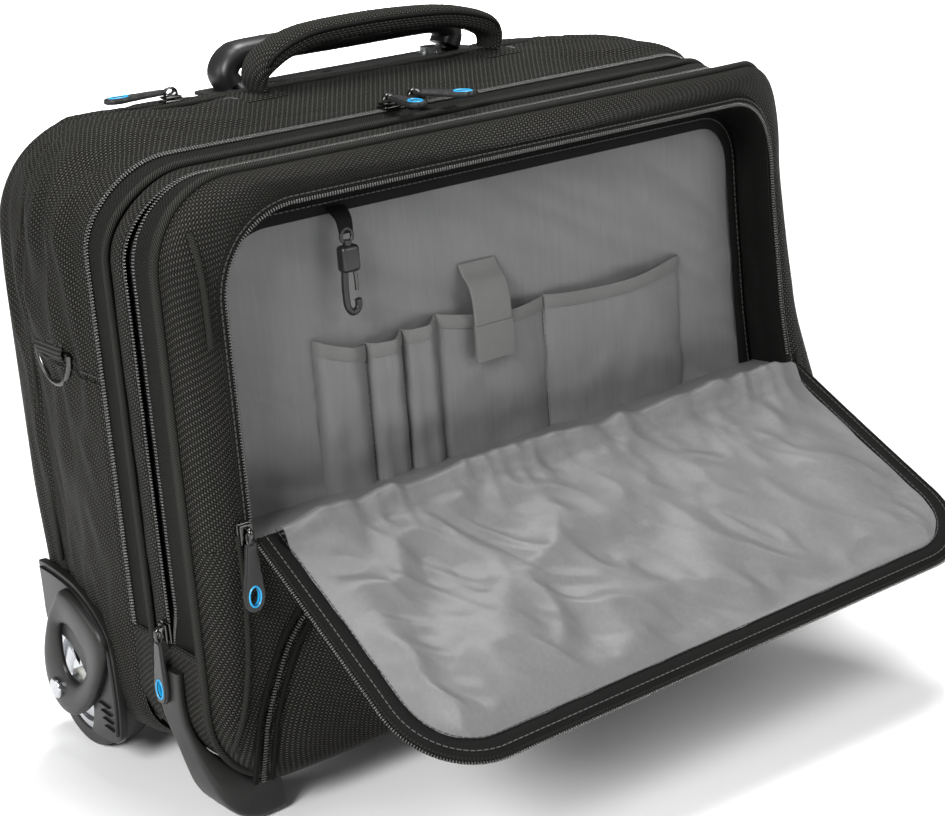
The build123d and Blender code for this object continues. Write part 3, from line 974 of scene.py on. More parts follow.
def pocketSide(x, z):
    # how far a point lies inside the lower pocket's curved zip, in millimetres
    best, inside = 1e9, 1.0
    x = -abs(x)
    for (x0, z0), (x1, z1) in zip(pocketEdge, pocketEdge[1:]):
        dx, dz = x1 - x0, z1 - z0
        t = clamp(((x - x0) * dx + (z - z0) * dz) / (dx * dx + dz * dz))
        gap = math.hypot(x - x0 - t * dx, z - z0 - t * dz)
        if gap < best:
            best = gap
            inside = 1.0 if (x - x0) * dz - (z - z0) * dx < 0 else -1.0
    if z > 119 and x > -150:
        return 119 - z
    return best * inside


def lowY(x, z, wide=219.0):
    edge = min(wide - abs(x), z - lowPanel["low"])
    y = facePuff(max(edge, 0.0), 60)
    side = pocketSide(x, z)
    y -= 4.6 * ease((side - 3) / 22) * ease((z - 24) / 10)
    y += 1.4 * math.exp(-(side / 4.0) ** 2)
    y += 0.9 * rough(x, 0, z, 26, 6.0) * ease(edge / 12)
    return max(y, -6.6)


def placeLowPanel(u, v):
    z = lowPanel["low"] + (lowPanel["high"] - lowPanel["low"]) * v
    wide = lowPanel["half"]
    if z < lowPanel["low"] + lowPanel["corner"]:
        wide = halfAt(z, lowPanel["half"], lowPanel["low"], 400, 44, lowPanel["corner"])
    t = 2 * u - 1
    t = math.copysign(abs(t) ** 0.82, t)
    x = wide * t
    return spot(x, lowY(x, z, wide), z)


lowFace = cloth("frontLow", 200, 76, placeLowPanel, forward)
lowFace, lowFaceBase = splitAtFold(lowFace)
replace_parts(lowFace, "front_lower_panel")
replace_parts(lowFaceBase, "lower_pocket_panel")
print("front made")


def openSpot(k, inset, y):
    # a point on the opening's outline, moved inwards
    x, z, nx, nz = archSpot(k, opening)
    return spot(x - nx * inset, y, z - nz * inset)


def openPath(inset, y, start=0.0, end=1.0):
    return [openSpot(start + (end - start) * i / 260, inset, y) for i in range(261)]


def placeMouth(u, v):
    inset = -4.4 + 6.4 * v
    y = 0.6 - 1.4 * math.sin(math.pi * clamp(v * 1.1)) + 1.2 * ease((v - 0.8) / 0.2)
    return openSpot(u, inset, y)


mouthTape = cloth("mouthTape", 260, 8, placeMouth, forward, "tape", 0.9)
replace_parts(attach(mouthTape, "front_section"), "front_zip_tapes")

fineBead = makeBead(1.0, 3.0, 1.5)
finePitch = 1.5
mouthPlaces = [(p, a, -depthAxis) for p, a in walk(openPath(0.6, -0.9, 0.012, 0.985), finePitch)]
mouthTeeth = beadRow("mouthTeeth", mouthPlaces, fineBead, "teeth")
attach(mouthTeeth, "front_section")

stitchBead = makeBead(2.4, 0.55, 0.45, soft=False)
stitchPitch = 3.3


def stitches(name, path, up, body, finish="thread"):
    places = [(p, a, up) for p, a in walk(path, stitchPitch)]
    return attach(beadRow(name, places, stitchBead, finish), body)


stitches("mouthStitches", openPath(-2.4, -0.95), -depthAxis, "front_section")


# organizer: side walls, lining, pockets
def inward(point):
    return spot(0, 12, 240) - point


def placeGussetTape(u, v):
    inset = 1.5 + 2.0 * v + 0.6 * math.sin(math.pi * v)
    return openSpot(u, inset, 0.6 + 13.0 * v)


def placeGusset(u, v):
    x, z = archSpot(u, opening)[:2]
    wave = 1.6 * rough(x, 20 * v, z, 22, 8.1)
    inset = 3.2 + wave * math.sin(math.pi * v) + 1.5 * v
    return openSpot(u, inset, 13.0 + 16.5 * v)


gussetTape = cloth("gussetTape", 240, 6, placeGussetTape, inward, "binding", 0.9)
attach(gussetTape, "front_section")
gusset = cloth("organizerWalls", 240, 8, placeGusset, inward, "binding", 0.8)
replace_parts(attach(gusset, "front_section"), "organizer_gusset")


liningOutline = {"half": 188.0, "low": 158.0, "top": 321.0, "radius": 42}


def placeLining(u, v):
    z = liningOutline["low"] + (liningOutline["top"] - liningOutline["low"]) * v
    x, edge = onPanel(u, z, **liningOutline)
    y = 29.6
    lean = x * 0.5 + z
    y -= 2.2 * ease(edge / 12) * abs(rough(lean, 0, (z - x) * 0.25, 20, 3.3))
    y -= 2.4 * ease(edge / 20) * max(0.0, rough(lean * 1.2, 5, (z - x) * 0.3, 34, 1.1)) ** 1.2
    return spot(x, y, z)


lining = cloth("organizerLining", 160, 80, placeLining, forward, "lining", 0.8)
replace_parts(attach(lining, "front_section"), "organizer_lining")


def placeBorder(u, v):
    inset = 4.0 + 12.0 * v
    return openSpot(u, inset, 27.2 - 1.0 * math.sin(math.pi * v) + 0.5 * rough(u * 600, v * 12, 0, 14, 2.0))


border = cloth("liningBorder", 240, 6, placeBorder, forward, "binding", 1.0)
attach(border, "front_section")
stitches("borderStitches", openPath(9.5, 25.9), -depthAxis, "front_section")


def placeFloor(u, v):
    x, y = 188 * (2 * u - 1), 30 - 31.5 * v
    return spot(x, y, 159.0 + 1.2 * math.sin(math.pi * v) * (1 + rough(x, y, 0, 18, 1.5)))


floorSheet = cloth("organizerFloor", 120, 10, placeFloor, facing(heightAxis), "lining", 0.8)
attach(floorSheet, "front_section")

pocketSeams = [-127, -95, -72, -49.5, 25, 127]
pocketTops = [(-127, 243), (-95, 234.5), (-72, 236.5), (-49.5, 240), (25, 234.5), (122, 236.5), (127, 236.5)]


def pocketTopAt(x):
    for (x0, z0), (x1, z1) in zip(pocketTops, pocketTops[1:]):
        if x <= x1:
            t = (x - x0) / (x1 - x0)
            return z0 + (z1 - z0) * t - 3.2 * math.sin(math.pi * clamp(t)) * min(1.0, (x1 - x0) / 60)
    return pocketTops[-1][1]


def pocketDepth(x, z):
    for x0, x1 in zip(pocketSeams, pocketSeams[1:]):
        if x <= x1:
            t = clamp((x - x0) / (x1 - x0))
            depth = 6.5 + 1.5 * ease((z - 160) / 60)
            ripple = 0.9 * math.sin(3 * math.pi * t + (z - 160) / 40)
            return (depth + ripple) * math.sin(math.pi * t) ** 0.5
    return 0.0


def placePockets(u, v, grow=0.0, tall=None):
    x = -127 + 254 * u
    top = pocketTopAt(x)
    start = 157.0 if tall is None else top - tall
    z = start + (top - start) * v
    y = 29.0 - pocketDepth(x, z) + 0.8 * rough(x, 0, z, 16, 4.0) * ease((top - z) / 20) - grow
    return spot(x, y, z)


pockets = cloth("organizerPockets", 254, 50, placePockets, forward, "lining", 0.9)
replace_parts(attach(pockets, "front_section"), "organizer_pockets")


def placePocketTape(u, v):
    return placePockets(u, v, 0.75 + 0.5 * math.sin(math.pi * v), tall=7.5) + Vector((0, 0, 0.0006))


pocketTape = cloth("pocketBinding", 254, 4, placePocketTape, forward, "greyTape", 0.8)
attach(pocketTape, "front_section")
for seam in pocketSeams[1:-1]:
    path = [spot(seam, 28.2, 160 + 6 * i) for i in range(12)]
    stitches(f"pocketSeam{pocketSeams.index(seam)}", path, -depthAxis, "front_section", "paleThread")
print("organizer made")

# flap
flapTilt = math.radians(120)
flapDown = Vector((0, -math.sin(flapTilt), math.cos(flapTilt)))
flapUp = Vector((0, math.cos(flapTilt), math.sin(flapTilt)))
flapHinge = spot(0, -0.6, 160)
flapShape = {"half": 190.0, "low": 2.5, "top": 163.0, "radius": 44.0}


def flapSpot(x, d, h):
    h += 6.0 * (x / 190) * max(d / 162, 0) ** 1.5
    return flapHinge + Vector((x / 1000, 0, 0)) + flapDown * (d / 1000) + flapUp * (h / 1000)


def flapRim(k, inset, h):
    x, d, nx, nd = archSpot(k, flapShape)
    return flapSpot(x - nx * inset, d - nd * inset, h)


def ridge(value):
    return 1 - math.sqrt(value * value * 6.0 + 0.05)


def crumple(x, d):
    # satin cloth pushed together: soft slanted folds, calmer towards the right
    a = x * 0.62 + d * 0.78
    b = -x * 0.78 + d * 0.62
    calm = 0.55 + 0.45 * ease((60 - x) / 150)
    big = ridge(rough(a * 0.5 + 10 * rough(x, d, 0, 60, 1.0), b * 0.9, 0, 27, 2.4))
    middle = ridge(rough(a * 0.45 + 5 * rough(x, d, 0, 30, 5.0), b, 4, 14, 6.1))
    slow = rough(x, d * 0.8, 3, 46, 4.4)
    near = ridge(rough(x * 0.9, d * 0.35, 7, 15, 3.3)) * ease((42 - d) / 30)
    return (3.9 * max(big, -0.3) + 1.5 * max(middle, -0.3)) * calm + 2.8 * slow + 2.2 * max(near, -0.2) + 1.6


flapLiningOutline = {"half": 179.0, "low": 0, "top": 152.0, "radius": 34}
flapOuterOutline = {"half": 189.0, "low": 0, "top": 162.0, "radius": 43}


def placeFlapLining(u, v):
    d = 4.0 + (flapLiningOutline["top"] - 4.0) * v
    x, edge = onPanel(u, d, **flapLiningOutline)
    h = 4.2 + (crumple(x, d) - 1.2) * ease(edge / 20) + 1.5 * ease(edge / 30)
    h += 7.0 * math.exp(-((d - 7) / 7.0) ** 2)
    return flapSpot(x, d, h)


flapLining = cloth("flapLining", 300, 130, placeFlapLining, facing(flapUp), "lining", 0.7)
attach(flapLining, "flap")


def placeFlapOuter(u, v):
    d = 3.0 + (flapOuterOutline["top"] - 3.0) * v
    x, edge = onPanel(u, d, **flapOuterOutline)
    return flapSpot(x, d, 1.4 - 2.4 * ease(edge / 26) + 0.6 * rough(x, d, 0, 30, 1.9))


flapOuter = cloth("flapOuter", 160, 70, placeFlapOuter, facing(-flapUp))
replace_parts(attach(flapOuter, "flap"), "flap_panel")


def placeFlapBinding(u, v):
    inset = 0.8 + 12.7 * v
    h = 3.2 + 2.0 * math.sin(math.pi * clamp(0.15 + v * 0.8))
    x, d, nx, nd = archSpot(u, flapShape)
    return flapSpot(x - nx * inset, max(d - nd * inset, 3.0), h + 0.35 * rough(x, d, 0, 14, 3.0))


flapBinding = cloth("flapBinding", 260, 8, placeFlapBinding, facing(flapUp), "binding", 1.6)
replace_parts(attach(flapBinding, "flap"), "flap_zip_tape")


def placeFlapEdge(u, v):
    return flapRim(u, -0.6 + 1.2 * math.sin(math.pi * v), 0.8 + 3.2 * v)


def fromFlapMiddle(point):
    return point - flapSpot(0, 80, 2)


flapEdge = cloth("flapEdgeTape", 260, 4, placeFlapEdge, fromFlapMiddle, "tape", 1.2)
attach(flapEdge, "flap")


def flapPath(inset, h, start=0.0, end=1.0):
    return [flapRim(start + (end - start) * i / 260, inset, h) for i in range(261)]


flapPlaces = [(p, a, flapUp) for p, a in walk(flapPath(-0.9, 2.6, 0.004, 0.996), finePitch)]
flapTeeth = beadRow("flapTeeth", flapPlaces, fineBead, "teeth")
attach(flapTeeth, "flap")
stitches("flapStitches", flapPath(4.0, 5.2), flapUp, "flap")
stitches("flapStitchesInner", flapPath(11.2, 5.4), flapUp, "flap")
print("flap made")

# seams, welts and the curved zip of the lower pocket
def mirrored(points):
    return [(-x, z) for x, z in points]


def facePath(points, depth, yOf=lowY):
    return smoothPath([spot(x, yOf(x, z) - depth, z) for x, z in points], 6)


def offsetPoints(points, gap):
    moved = []
    for i, (x, z) in enumerate(points):
        x0, z0 = points[max(i - 1, 0)]
        x1, z1 = points[min(i + 1, len(points) - 1)]
        run = math.hypot(x1 - x0, z1 - z0)
        moved.append((x - (z1 - z0) / run * gap, z + (x1 - x0) / run * gap))
    return moved


pocketZip = {"lip": 5.2, "lipRadius": 1.6, "pitch": 1.5}
zipTop = [(-120, 121), (-60, 122), (0, 122), (60, 122), (120, 121)]
zipLine = pocketEdge[::-1] + zipTop + mirrored(pocketEdge)
for label, gap in (("Outer", pocketZip["lip"]), ("Inner", -pocketZip["lip"])):
    lip = cordAlong("pocketZipLip" + label, facePath(offsetPoints(zipLine, gap), 0.6), pocketZip["lipRadius"],
                    "binding")
    splitAtFold(lip)
zipBead = makeBead(1.05, 4.4, 1.8)
zipPlaces = [(p, a, -depthAxis) for p, a in walk(facePath(zipLine, 1.5), pocketZip["pitch"])]
for name, bend, above in (("pocketTeeth", bendHigh, True), ("pocketTeethLow", bendLow, False)):
    kept = [place for place in zipPlaces if (place[0].z > foldCut / 1000) == above]
    bend(beadRow(name, kept, zipBead, "teeth"))

lowerWelt = [(-199.5, 166), (-199, 148), (-199, 130), (-200.5, 110), (-203, 90), (-208, 70), (-214, 52)]
for label, points in (("Left", lowerWelt), ("Right", mirrored(lowerWelt))):
    welt = cordAlong("lowWelt" + label, facePath(points, 0.7), 1.6)
    splitAtFold(welt)
shoulder = [(-205.5, 319), (-203.8, 306), (-202.6, 292), (-202.2, 278), (-202.4, 262)]


def shoulderY(x, z):
    edge = 44 - math.hypot(abs(x) - 175, z - 297) if z > 297 else 219 - abs(x)
    return facePuff(max(edge, 1.0), 27)


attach(cordAlong("shoulderWelt", facePath(shoulder, 0.4, shoulderY), 1.7), "front_section")

sideSeam = {"y0": 84.0, "y1": 147.0, "z0": 235.0, "z1": 246.0}
for label, side in bothSides:
    path = []
    for i in range(20):
        share = i / 19
        y = sideSeam["y0"] + (sideSeam["y1"] - sideSeam["y0"]) * share
        z = sideSeam["z0"] + (sideSeam["z1"] - sideSeam["z0"]) * share
        path.append(spot(side * (220.4 + rearLift(y, side * 220, z)), y, z))
    stitches("sideSeam" + label, path, Vector((side, 0, 0)), "case")
    lowered = [point - Vector((0, 0, 0.0035)) for point in path]
    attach(cordAlong("sideSeamFold" + label, lowered, 0.8, "cloth", heightAxis), "case")
    for index, (y0, y1) in enumerate(((16, 41), (44, 79))):
        hemPath = [spot(side * 219.9, y0 + (y1 - y0) * i / 8, foldCut + 0.4) for i in range(9)]
        bendLow(sweep(f"foldHem{label}{index}", hemPath, heightAxis, 4.5, 2.2, "cloth"))
print("seams made")


# handles
carry = {"points": [(-80, 356.5), (-81, 364), (-74, 372), (-59, 378.5), (-40, 381.8), (0, 382.5), (40, 380.5),
                    (62, 376.5), (76, 371), (81, 364), (80, 356.5)],
         "wide": 25.0, "narrow": 21.0, "thick": 13.0, "thin": 5.0, "y": 133.0}


def flatPath(points, y, steps=10):
    return smoothPath([plain(x, y, z) for x, z in points], steps)


def swelling(ends, middle):
    # a size that grows from the ends of the handle to its middle
    return lambda t: ends + (middle - ends) * ease((0.5 - abs(t - 0.5)) / 0.22)


carryPath = flatPath(carry["points"], carry["y"])
sewn = {"low": spot(0, carry["y"], 354), "high": spot(0, carry["y"], 368)}
carryHandle = sweep("carryHandle", carryPath, depthAxis, swelling(carry["narrow"], carry["wide"]),
                    swelling(carry["thin"], carry["thick"]), "cloth", 24, 0.75)
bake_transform(carryHandle)
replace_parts(carryHandle, "carry_handle")
for side in (-1, 1):
    rim = [point + Vector((0, side * 0.0119, 0.0022)) for point in carryPath[14:-14]]
    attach(cordAlong("carrySeam" + ("Front" if side < 0 else "Back"), rim, 1.3, "binding"), "carry_handle")


ringLoop = {"points": [(221.5, 252), (224.5, 248.5), (226.2, 243), (224.5, 238.5), (221.5, 236)], "y": 127.0}


def placePatch(centreX):
    def place(u, v):
        x = centreX + 26 * (u - 0.5)
        y = carry["y"] + 27 * (v - 0.5)
        edge = min(u, 1 - u, v, 1 - v)
        return spot(x, y, 352.2 + min(rearLift(y, x, 352), 2.6) + 1.4 * ease(edge / 0.15))
    return place


for label, side in bothSides:
    patch = cloth("handlePatch" + label, 12, 12, placePatch(side * 82), facing(heightAxis), "cloth", 1.6)
    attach(patch, "case")
    if side < 0:
        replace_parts(patch, "webbing_loops")
    ringPath = flatPath([(side * x, z) for x, z in ringLoop["points"]], ringLoop["y"], 6)
    loop = sweep("ringLoop" + label, ringPath, depthAxis, 29.0, 1.5, "webbing", 12, 0.35)
    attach(loop, "case")

grip = {"points": [(-76, 356.5), (-78.5, 363), (-73, 370), (-60, 372.3), (0, 372.3), (60, 372.3), (73, 370),
                   (78.5, 363), (76, 356.5)], "y": 171.0}
gripPath = flatPath(grip["points"], grip["y"])
gripPiece = sweep("trolleyGrip", gripPath, depthAxis, 21.0, 14.6, "gripPlastic", 24, 0.8)
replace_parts(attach(gripPiece, "inner_stage"), "grip")
print("handles made")


# rounded plastic parts on the CAD's shapes
def roundedCopy(node, name, body, finish, width):
    piece = frame["nodes"][node].copy()
    piece.data = piece.data.copy()
    piece.name = name
    piece.parent = None
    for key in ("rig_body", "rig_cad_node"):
        if key in piece:
            del piece[key]
    bpy.context.scene.collection.objects.link(piece)
    edited(piece, (bpy.ops.mesh.remove_doubles, {"threshold": 0.00002}),
           (bpy.ops.mesh.dissolve_limited, {"angle_limit": math.radians(0.8)}))
    roundEdges(piece, width, 3, 32)
    smooth(piece, 50)
    dress(piece, finish)
    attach(piece, body)
    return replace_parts(piece, node)


for side in ("left", "right"):
    title = side.capitalize()
    roundedCopy("tyre_" + side, "tyre" + title, "wheel_" + side, "rubber", 0.6)
    roundedCopy("d_ring_" + side, "dRing" + title, "ring_" + side, "gunmetal", 0.3)
roundedCopy("handle_collar", "handleCollar", "case", "plastic", 0.6)
roundedCopy("handle_rivets", "handleRivets", "case", "steel", 0.9)


def aroundCentre(curve, centre, count):
    # the same curve sampled at even angles, so two outlines can be joined point to point
    angles = [math.atan2(p.y - centre[1], p.x - centre[0]) for p in curve]
    found = []
    for i in range(count):
        goal = -math.pi + 2 * math.pi * i / count
        best = None
        for j in range(len(curve)):
            a, b = angles[j], angles[(j + 1) % len(curve)]
            turn = (b - a + math.pi) % (2 * math.pi) - math.pi
            step = (goal - a + math.pi) % (2 * math.pi) - math.pi
            if turn and 0 <= step / turn <= 1:
                spotHere = curve[j].lerp(curve[(j + 1) % len(curve)], step / turn)
                best = spotHere if best is None or spotHere.length < best.length else best
        found.append(best if best is not None else curve[0])
    return found


housing = {
    "arm": [(147, 104), (160, 92), (172, 74), (180, 55), (179.5, 37), (168, 26), (150, 27), (128, 42),
            (113, 60), (105, 78), (109, 90), (128, 101)],
    "hole": [(158, 79), (145, 81), (130.5, 70), (131, 59), (144, 48), (157, 50), (162, 62)],
    "plate": [(104, 27), (101.5, 42), (101.5, 62), (102.5, 79), (108, 90), (121, 101), (138, 108.5),
              (158, 111.5), (176, 112.2), (178.5, 110), (178.6, 96), (178.6, 80), (176, 72.5)],
    "rim": [(107, 28), (104.5, 45), (104.5, 64), (105.8, 78), (110.5, 88.5), (122.5, 98.5), (138.5, 105.5),
            (158, 108.4), (175, 109)],
    "foot": [(222.4, 88), (222.8, 70), (221.2, 55), (216.6, 41), (210, 28.5), (202, 17.8), (194, 13.2),
             (187, 12.8), (180, 13.6)],
    "bar": [(109.5, 0.9, 30), (119, 1.2, 30.6)],
    "centre": (145, 65), "points": 96, "axle": (165, 40), "cap": {"x": 230.4, "radius": 6.0, "depth": 6.0},
}


def aroundAxle(radius, angle):
    y, z = housing["axle"]
    return y + radius * math.cos(angle), z + radius * math.sin(angle)


def flatPlate(name, outline, base, thickness, side, bevel):
    # a plate with the given (y, z) outline, standing outwards from x = base
    plate = newShape(bpy.ops.mesh.primitive_circle_add, name, vertices=len(outline), fill_type="NGON")
    for vertex, (y, z) in zip(plate.data.vertices, outline):
        vertex.co = plain(side * base, y, z)
    facingOut(plate, facing(widthAxis * side))
    thicken(plate, thickness, 1.0)
    roundEdges(plate, bevel, 3, 45)
    smooth(plate, 40)
    return dress(plate, "plastic")


for side, label in ((-1, "left"), (1, "right")):
    title = label.capitalize()
    count = housing["points"]
    armCurve = aroundCentre(closedCurve(housing["arm"]), housing["centre"], count)
    holeCurve = aroundCentre(closedCurve(housing["hole"]), housing["centre"], count)

    def placeArm(u, v):
        i = round(u * count) % count
        outer, inner = armCurve[i], holeCurve[i]
        angle = 2 * math.pi * v
        share = 0.5 - 0.5 * math.cos(angle)
        y, z = inner.lerp(outer, share)
        height = math.sin(angle)
        out = 226.2 + 1.6 * height
        if height > 0:
            out = 226.2 + 6.2 * height ** 0.55 * (0.62 + 0.38 * share)
        return plain(side * out, y, z)

    arm = gridSheet("housingArm" + title, count, 28, placeArm)
    closeUp(arm)
    smooth(arm, 50)
    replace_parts(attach(dress(arm, "plastic"), "case"), "wheel_housing_" + label)
    edgeLine = [(p.x, p.y) for p in smoothPath([Vector((y, z, 0)) for y, z in housing["plate"]], 5)]
    edgeLine += [aroundAxle(31.8, math.radians(91 + 6 * i)) for i in range(22)]
    edgeLine += [(134, 20), (122, 20.5), (110, 22)]
    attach(flatPlate("housingPlate" + title, edgeLine, 221.4, 4.4, side, 1.6), "case")
    rimLine = [plain(side * 226.2, y, z) for y, z in housing["rim"]]
    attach(cordAlong("housingRim" + title, smoothPath(rimLine, 8), 1.3, "plastic"), "case")
    for i in range(4):
        bar = [plain(side * 226.3, y + slant * i, z + 4.4 * i) for y, slant, z in housing["bar"]]
        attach(cordAlong("housingBar" + title + str(i), smoothPath(bar, 4), 1.1, "plastic"), "case")
    wall = [(116, 28), (116, 94), (118, 97), (178, 97), (178, 72)]
    wall += [aroundAxle(33, math.radians(degrees)) for degrees in range(70, 215, 12)]
    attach(flatPlate("housingInner" + title, wall, 189.5, 2.4, side, 0.6), "case")
    roof = [plain(side * x, 147, 95.2) for x in (189.5, 200, 210, 221)]
    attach(sweep("housingRoof" + title, roof, depthAxis, 62.0, 3.4, "plastic", 16, 0.15), "case")
    footPath = smoothPath([plain(side * x, 43 - 8.5 * ease((70 - z) / 50), z) for x, z in housing["foot"]], 8)
    foot = sweep("frontFoot" + title, footPath, depthAxis, lambda t: 22.0 + 19.0 * ease((t - 0.3) / 0.4),
                 lambda t: 4.6 + 20.4 * ease((t - 0.24) / 0.5), "plastic", 32, 0.36)
    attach(foot, "case")
    if side < 0:
        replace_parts(foot, "front_feet")
    cap = housing["cap"]
    capPiece = newShape(bpy.ops.mesh.primitive_cylinder_add, "axleCap" + title, vertices=40,
                        radius=cap["radius"] / 1000, depth=cap["depth"] / 1000)
    capPiece.data.transform(Matrix.Translation(plain(side * cap["x"], *housing["axle"]))
                            @ Matrix.Rotation(math.pi / 2, 4, "Y"))
    roundEdges(capPiece, 1.2)
    smooth(capPiece, 40)
    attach(dress(capPiece, "chrome"), "case")
    if side < 0:
        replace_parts(capPiece, "axle_caps")


def placeHub(side):
    def place(u, v):
        turn = 2 * math.pi * u
        radius = 7.4 + 21.6 * v
        facet = abs((u * 10) % 2 - 1)
        out = 212.2 + 3.4 * facet * math.sin(math.pi * clamp(0.15 + 0.85 * v)) + 1.2 * (1 - v)
        return plain(side * out, *aroundAxle(radius, turn))
    return place


for side, label in ((-1, "left"), (1, "right")):
    cover = gridSheet("hubCover" + label.capitalize(), 60, 5, placeHub(side))
    facingOut(cover, facing(widthAxis * side))
    thicken(cover, 1.0)
    closeUp(cover)
    smooth(cover, 12)
    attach(dress(cover, "chrome"), "wheel_" + label)
print("wheels made")


# zip sliders and pulls
def turned(origin, toward, up):
    toward, up = Vector(toward).normalized(), Vector(up).normalized()
    side = up.cross(toward).normalized()
    turn = Matrix((toward, side, up)).transposed().to_4x4()
    turn.translation = spot(*origin)
    return turn


def sized(name, x, y, z, centre, bevel, segments=3):
    piece = newShape(bpy.ops.mesh.primitive_cube_add, name, size=1)
    for vertex in piece.data.vertices:
        vertex.co = (vertex.co * Vector((x, y, z)) + Vector(centre)) / 1000
    roundEdges(piece, bevel, segments)
    return piece


def joined(pieces, name):
    bpy.ops.object.select_all(action="DESELECT")
    for piece in pieces:
        piece.select_set(True)
    bpy.context.view_layer.objects.active = pieces[0]
    bpy.ops.object.join()
    pieces[0].name = name
    return pieces[0]


def localTube(name, points, wide, tall):
    return tube(name, smoothPath([Vector((x, 0, z)) / 1000 for x, z in points], 6), depthAxis, wide, tall)


def makeSlider(name):
    # x along the zip, z away from it; the pin for the pull is at z = 6.2
    base = sized(name, 11.5, 9.0, 1.5, (0, 0, 0.9), 0.6)
    top = sized(name + "Top", 10.0, 7.6, 1.5, (0, 0, 2.9), 0.6)
    neck = sized(name + "Neck", 4.0, 3.6, 2.2, (2.4, 0, 1.9), 0.5)
    bridgeLine = [(-3.8, 3.2), (-3.4, 6.0), (-1.6, 7.6), (1.6, 7.6), (3.4, 6.0), (3.8, 3.2)]
    bridge = localTube(name + "Bridge", bridgeLine, 2.6, 1.3)
    return joined([base, top, neck, bridge], name)


def pullWidth(x):
    stops = [(3.5, 2.6), (8, 3.4), (16, 4.1), (24, 5.2), (31, 6.1), (36, 5.4), (39, 3.2), (40, 0.4)]
    for (x0, w0), (x1, w1) in zip(stops, stops[1:]):
        if x <= x1:
            return w0 + (w1 - w0) * ease((x - x0) / (x1 - x0))
    return 0.4


def makeTab(name, shrink, thickness, z):
    def place(u, v):
        x = 4.0 + shrink + (36.0 - 2 * shrink) * (0.5 - 0.5 * math.cos(math.pi * u))
        half = max(pullWidth(x) - shrink, 0.25)
        return Vector((x, half * (2 * v - 1), z)) / 1000
    tab = gridSheet(name, 40, 6, place)
    facingOut(tab, facing(heightAxis))
    thicken(tab, thickness, 0.0)
    cutter = newShape(bpy.ops.mesh.primitive_cylinder_add, "cutter", vertices=32, radius=0.0026, depth=0.02,
                      location=(0, 0, 0))
    for vertex in cutter.data.vertices:
        vertex.co = Vector((vertex.co.x * 1.75 + 0.0315, vertex.co.y, vertex.co.z + z / 1000))
    cut = tab.modifiers.new("hole", "BOOLEAN")
    cut.object = cutter
    cut.solver = "EXACT"
    applyAll(tab)
    bpy.data.objects.remove(cutter)
    roundEdges(tab, 0.4, 2, 50)
    return tab


def makePull(name):
    lowTab = makeTab(name, 0.0, 1.7, 6.0)
    highTab = makeTab(name + "Face", 0.9, 2.9, 6.2)
    eyeLine = [(4.8, 6.2), (2.0, 7.7), (-0.6, 7.5), (-1.8, 6.2), (-0.6, 4.9), (2.0, 4.7), (4.8, 6.2)]
    eye = localTube(name + "Eye", eyeLine, 3.4, 0.9)
    return joined([lowTab, highTab, eye], name)


def makeBlueRing(name):
    def place(u, v):
        a, b = 2 * math.pi * u, 2 * math.pi * v
        reachX, reachY = 5.35 + 0.95 * math.cos(b), 3.35 + 0.95 * math.cos(b)
        return Vector((31.5 + reachX * math.cos(a), reachY * math.sin(a), 6.2 + 1.9 * math.sin(b))) / 1000
    ringBody = gridSheet(name, 36, 8, place)
    closeUp(ringBody)
    return ringBody


zipPulls = {
    "main_left": ((-30, 80.6, 352.4), (-0.15, -0.9887, 0), (0, 0, 1), (1, 0, 0)),
    "main_right": ((-13, 80.6, 352.4), (0.36, -0.933, 0), (0, 0, 1), (-1, 0, 0)),
    "front": ((-220.4, 43, 108), (0, 0.1, -1), (-1, 0, 0), (0, 0, 1)),
    "flap": ((-195.5, -1.4, 166), (-0.05, 0, -1), (0, -1, 0), (0, 0, 1)),
    "rear": ((-122, 154.2, 354.4), (-1, 0, 0), (0, 0, 1), (1, 0, 0)),
}
for label, (origin, toward, up, along) in zipPulls.items():
    title = "".join(part.capitalize() for part in label.split("_"))
    slider = makeSlider("slider" + title)
    slider.data.transform(turned(origin, along, up))
    smooth(slider, 40)
    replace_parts(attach(dress(slider, "gunmetal"), label + "_slider"), label + "_slider")
    pull = makePull("pull" + title)
    ringPiece = makeBlueRing("pullRing" + title)
    for piece, finish in ((pull, "pull"), (ringPiece, "blue")):
        piece.data.transform(turned(origin, toward, up))
        smooth(piece, 40)
        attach(dress(piece, finish), label + "_pull")
    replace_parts(pull, label + "_pull")
print("pulls made")


# strap, hook tab and inner pads
strapLine = [(28.4, 263), (25.5, 258), (20.5, 252.5), (17.8, 244), (17.2, 228), (17.4, 211)]
strapPath = smoothPath([spot(-18, y, z) for y, z in strapLine], 6)
strap = sweep("pocketStrap", strapPath, widthAxis, 25.5, 1.5, "greyTape", 16, 0.3)
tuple(strapPath[2])
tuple(strapPath[14])
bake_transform(strap)
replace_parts(strap, "pocket_strap")
strapEnd = sweep("strapHem", strapPath[-8:], widthAxis, 25.9, 2.9, "greyTape", 16, 0.3)
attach(strapEnd, "pocket_strap")
tabPath = [spot(-107, y, z) for y, z in ((25, 311), (21, 308), (18, 304), (17, 297.5))]
hook = {"x": -107.0, "y": 17.0}


def hookWire(name, points, radius, body, finish="gripPlastic"):
    path = smoothPath([spot(hook["x"] + dx, hook["y"], z) for dx, z in points], 7)
    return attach(cordAlong(name, path, radius, finish), body)


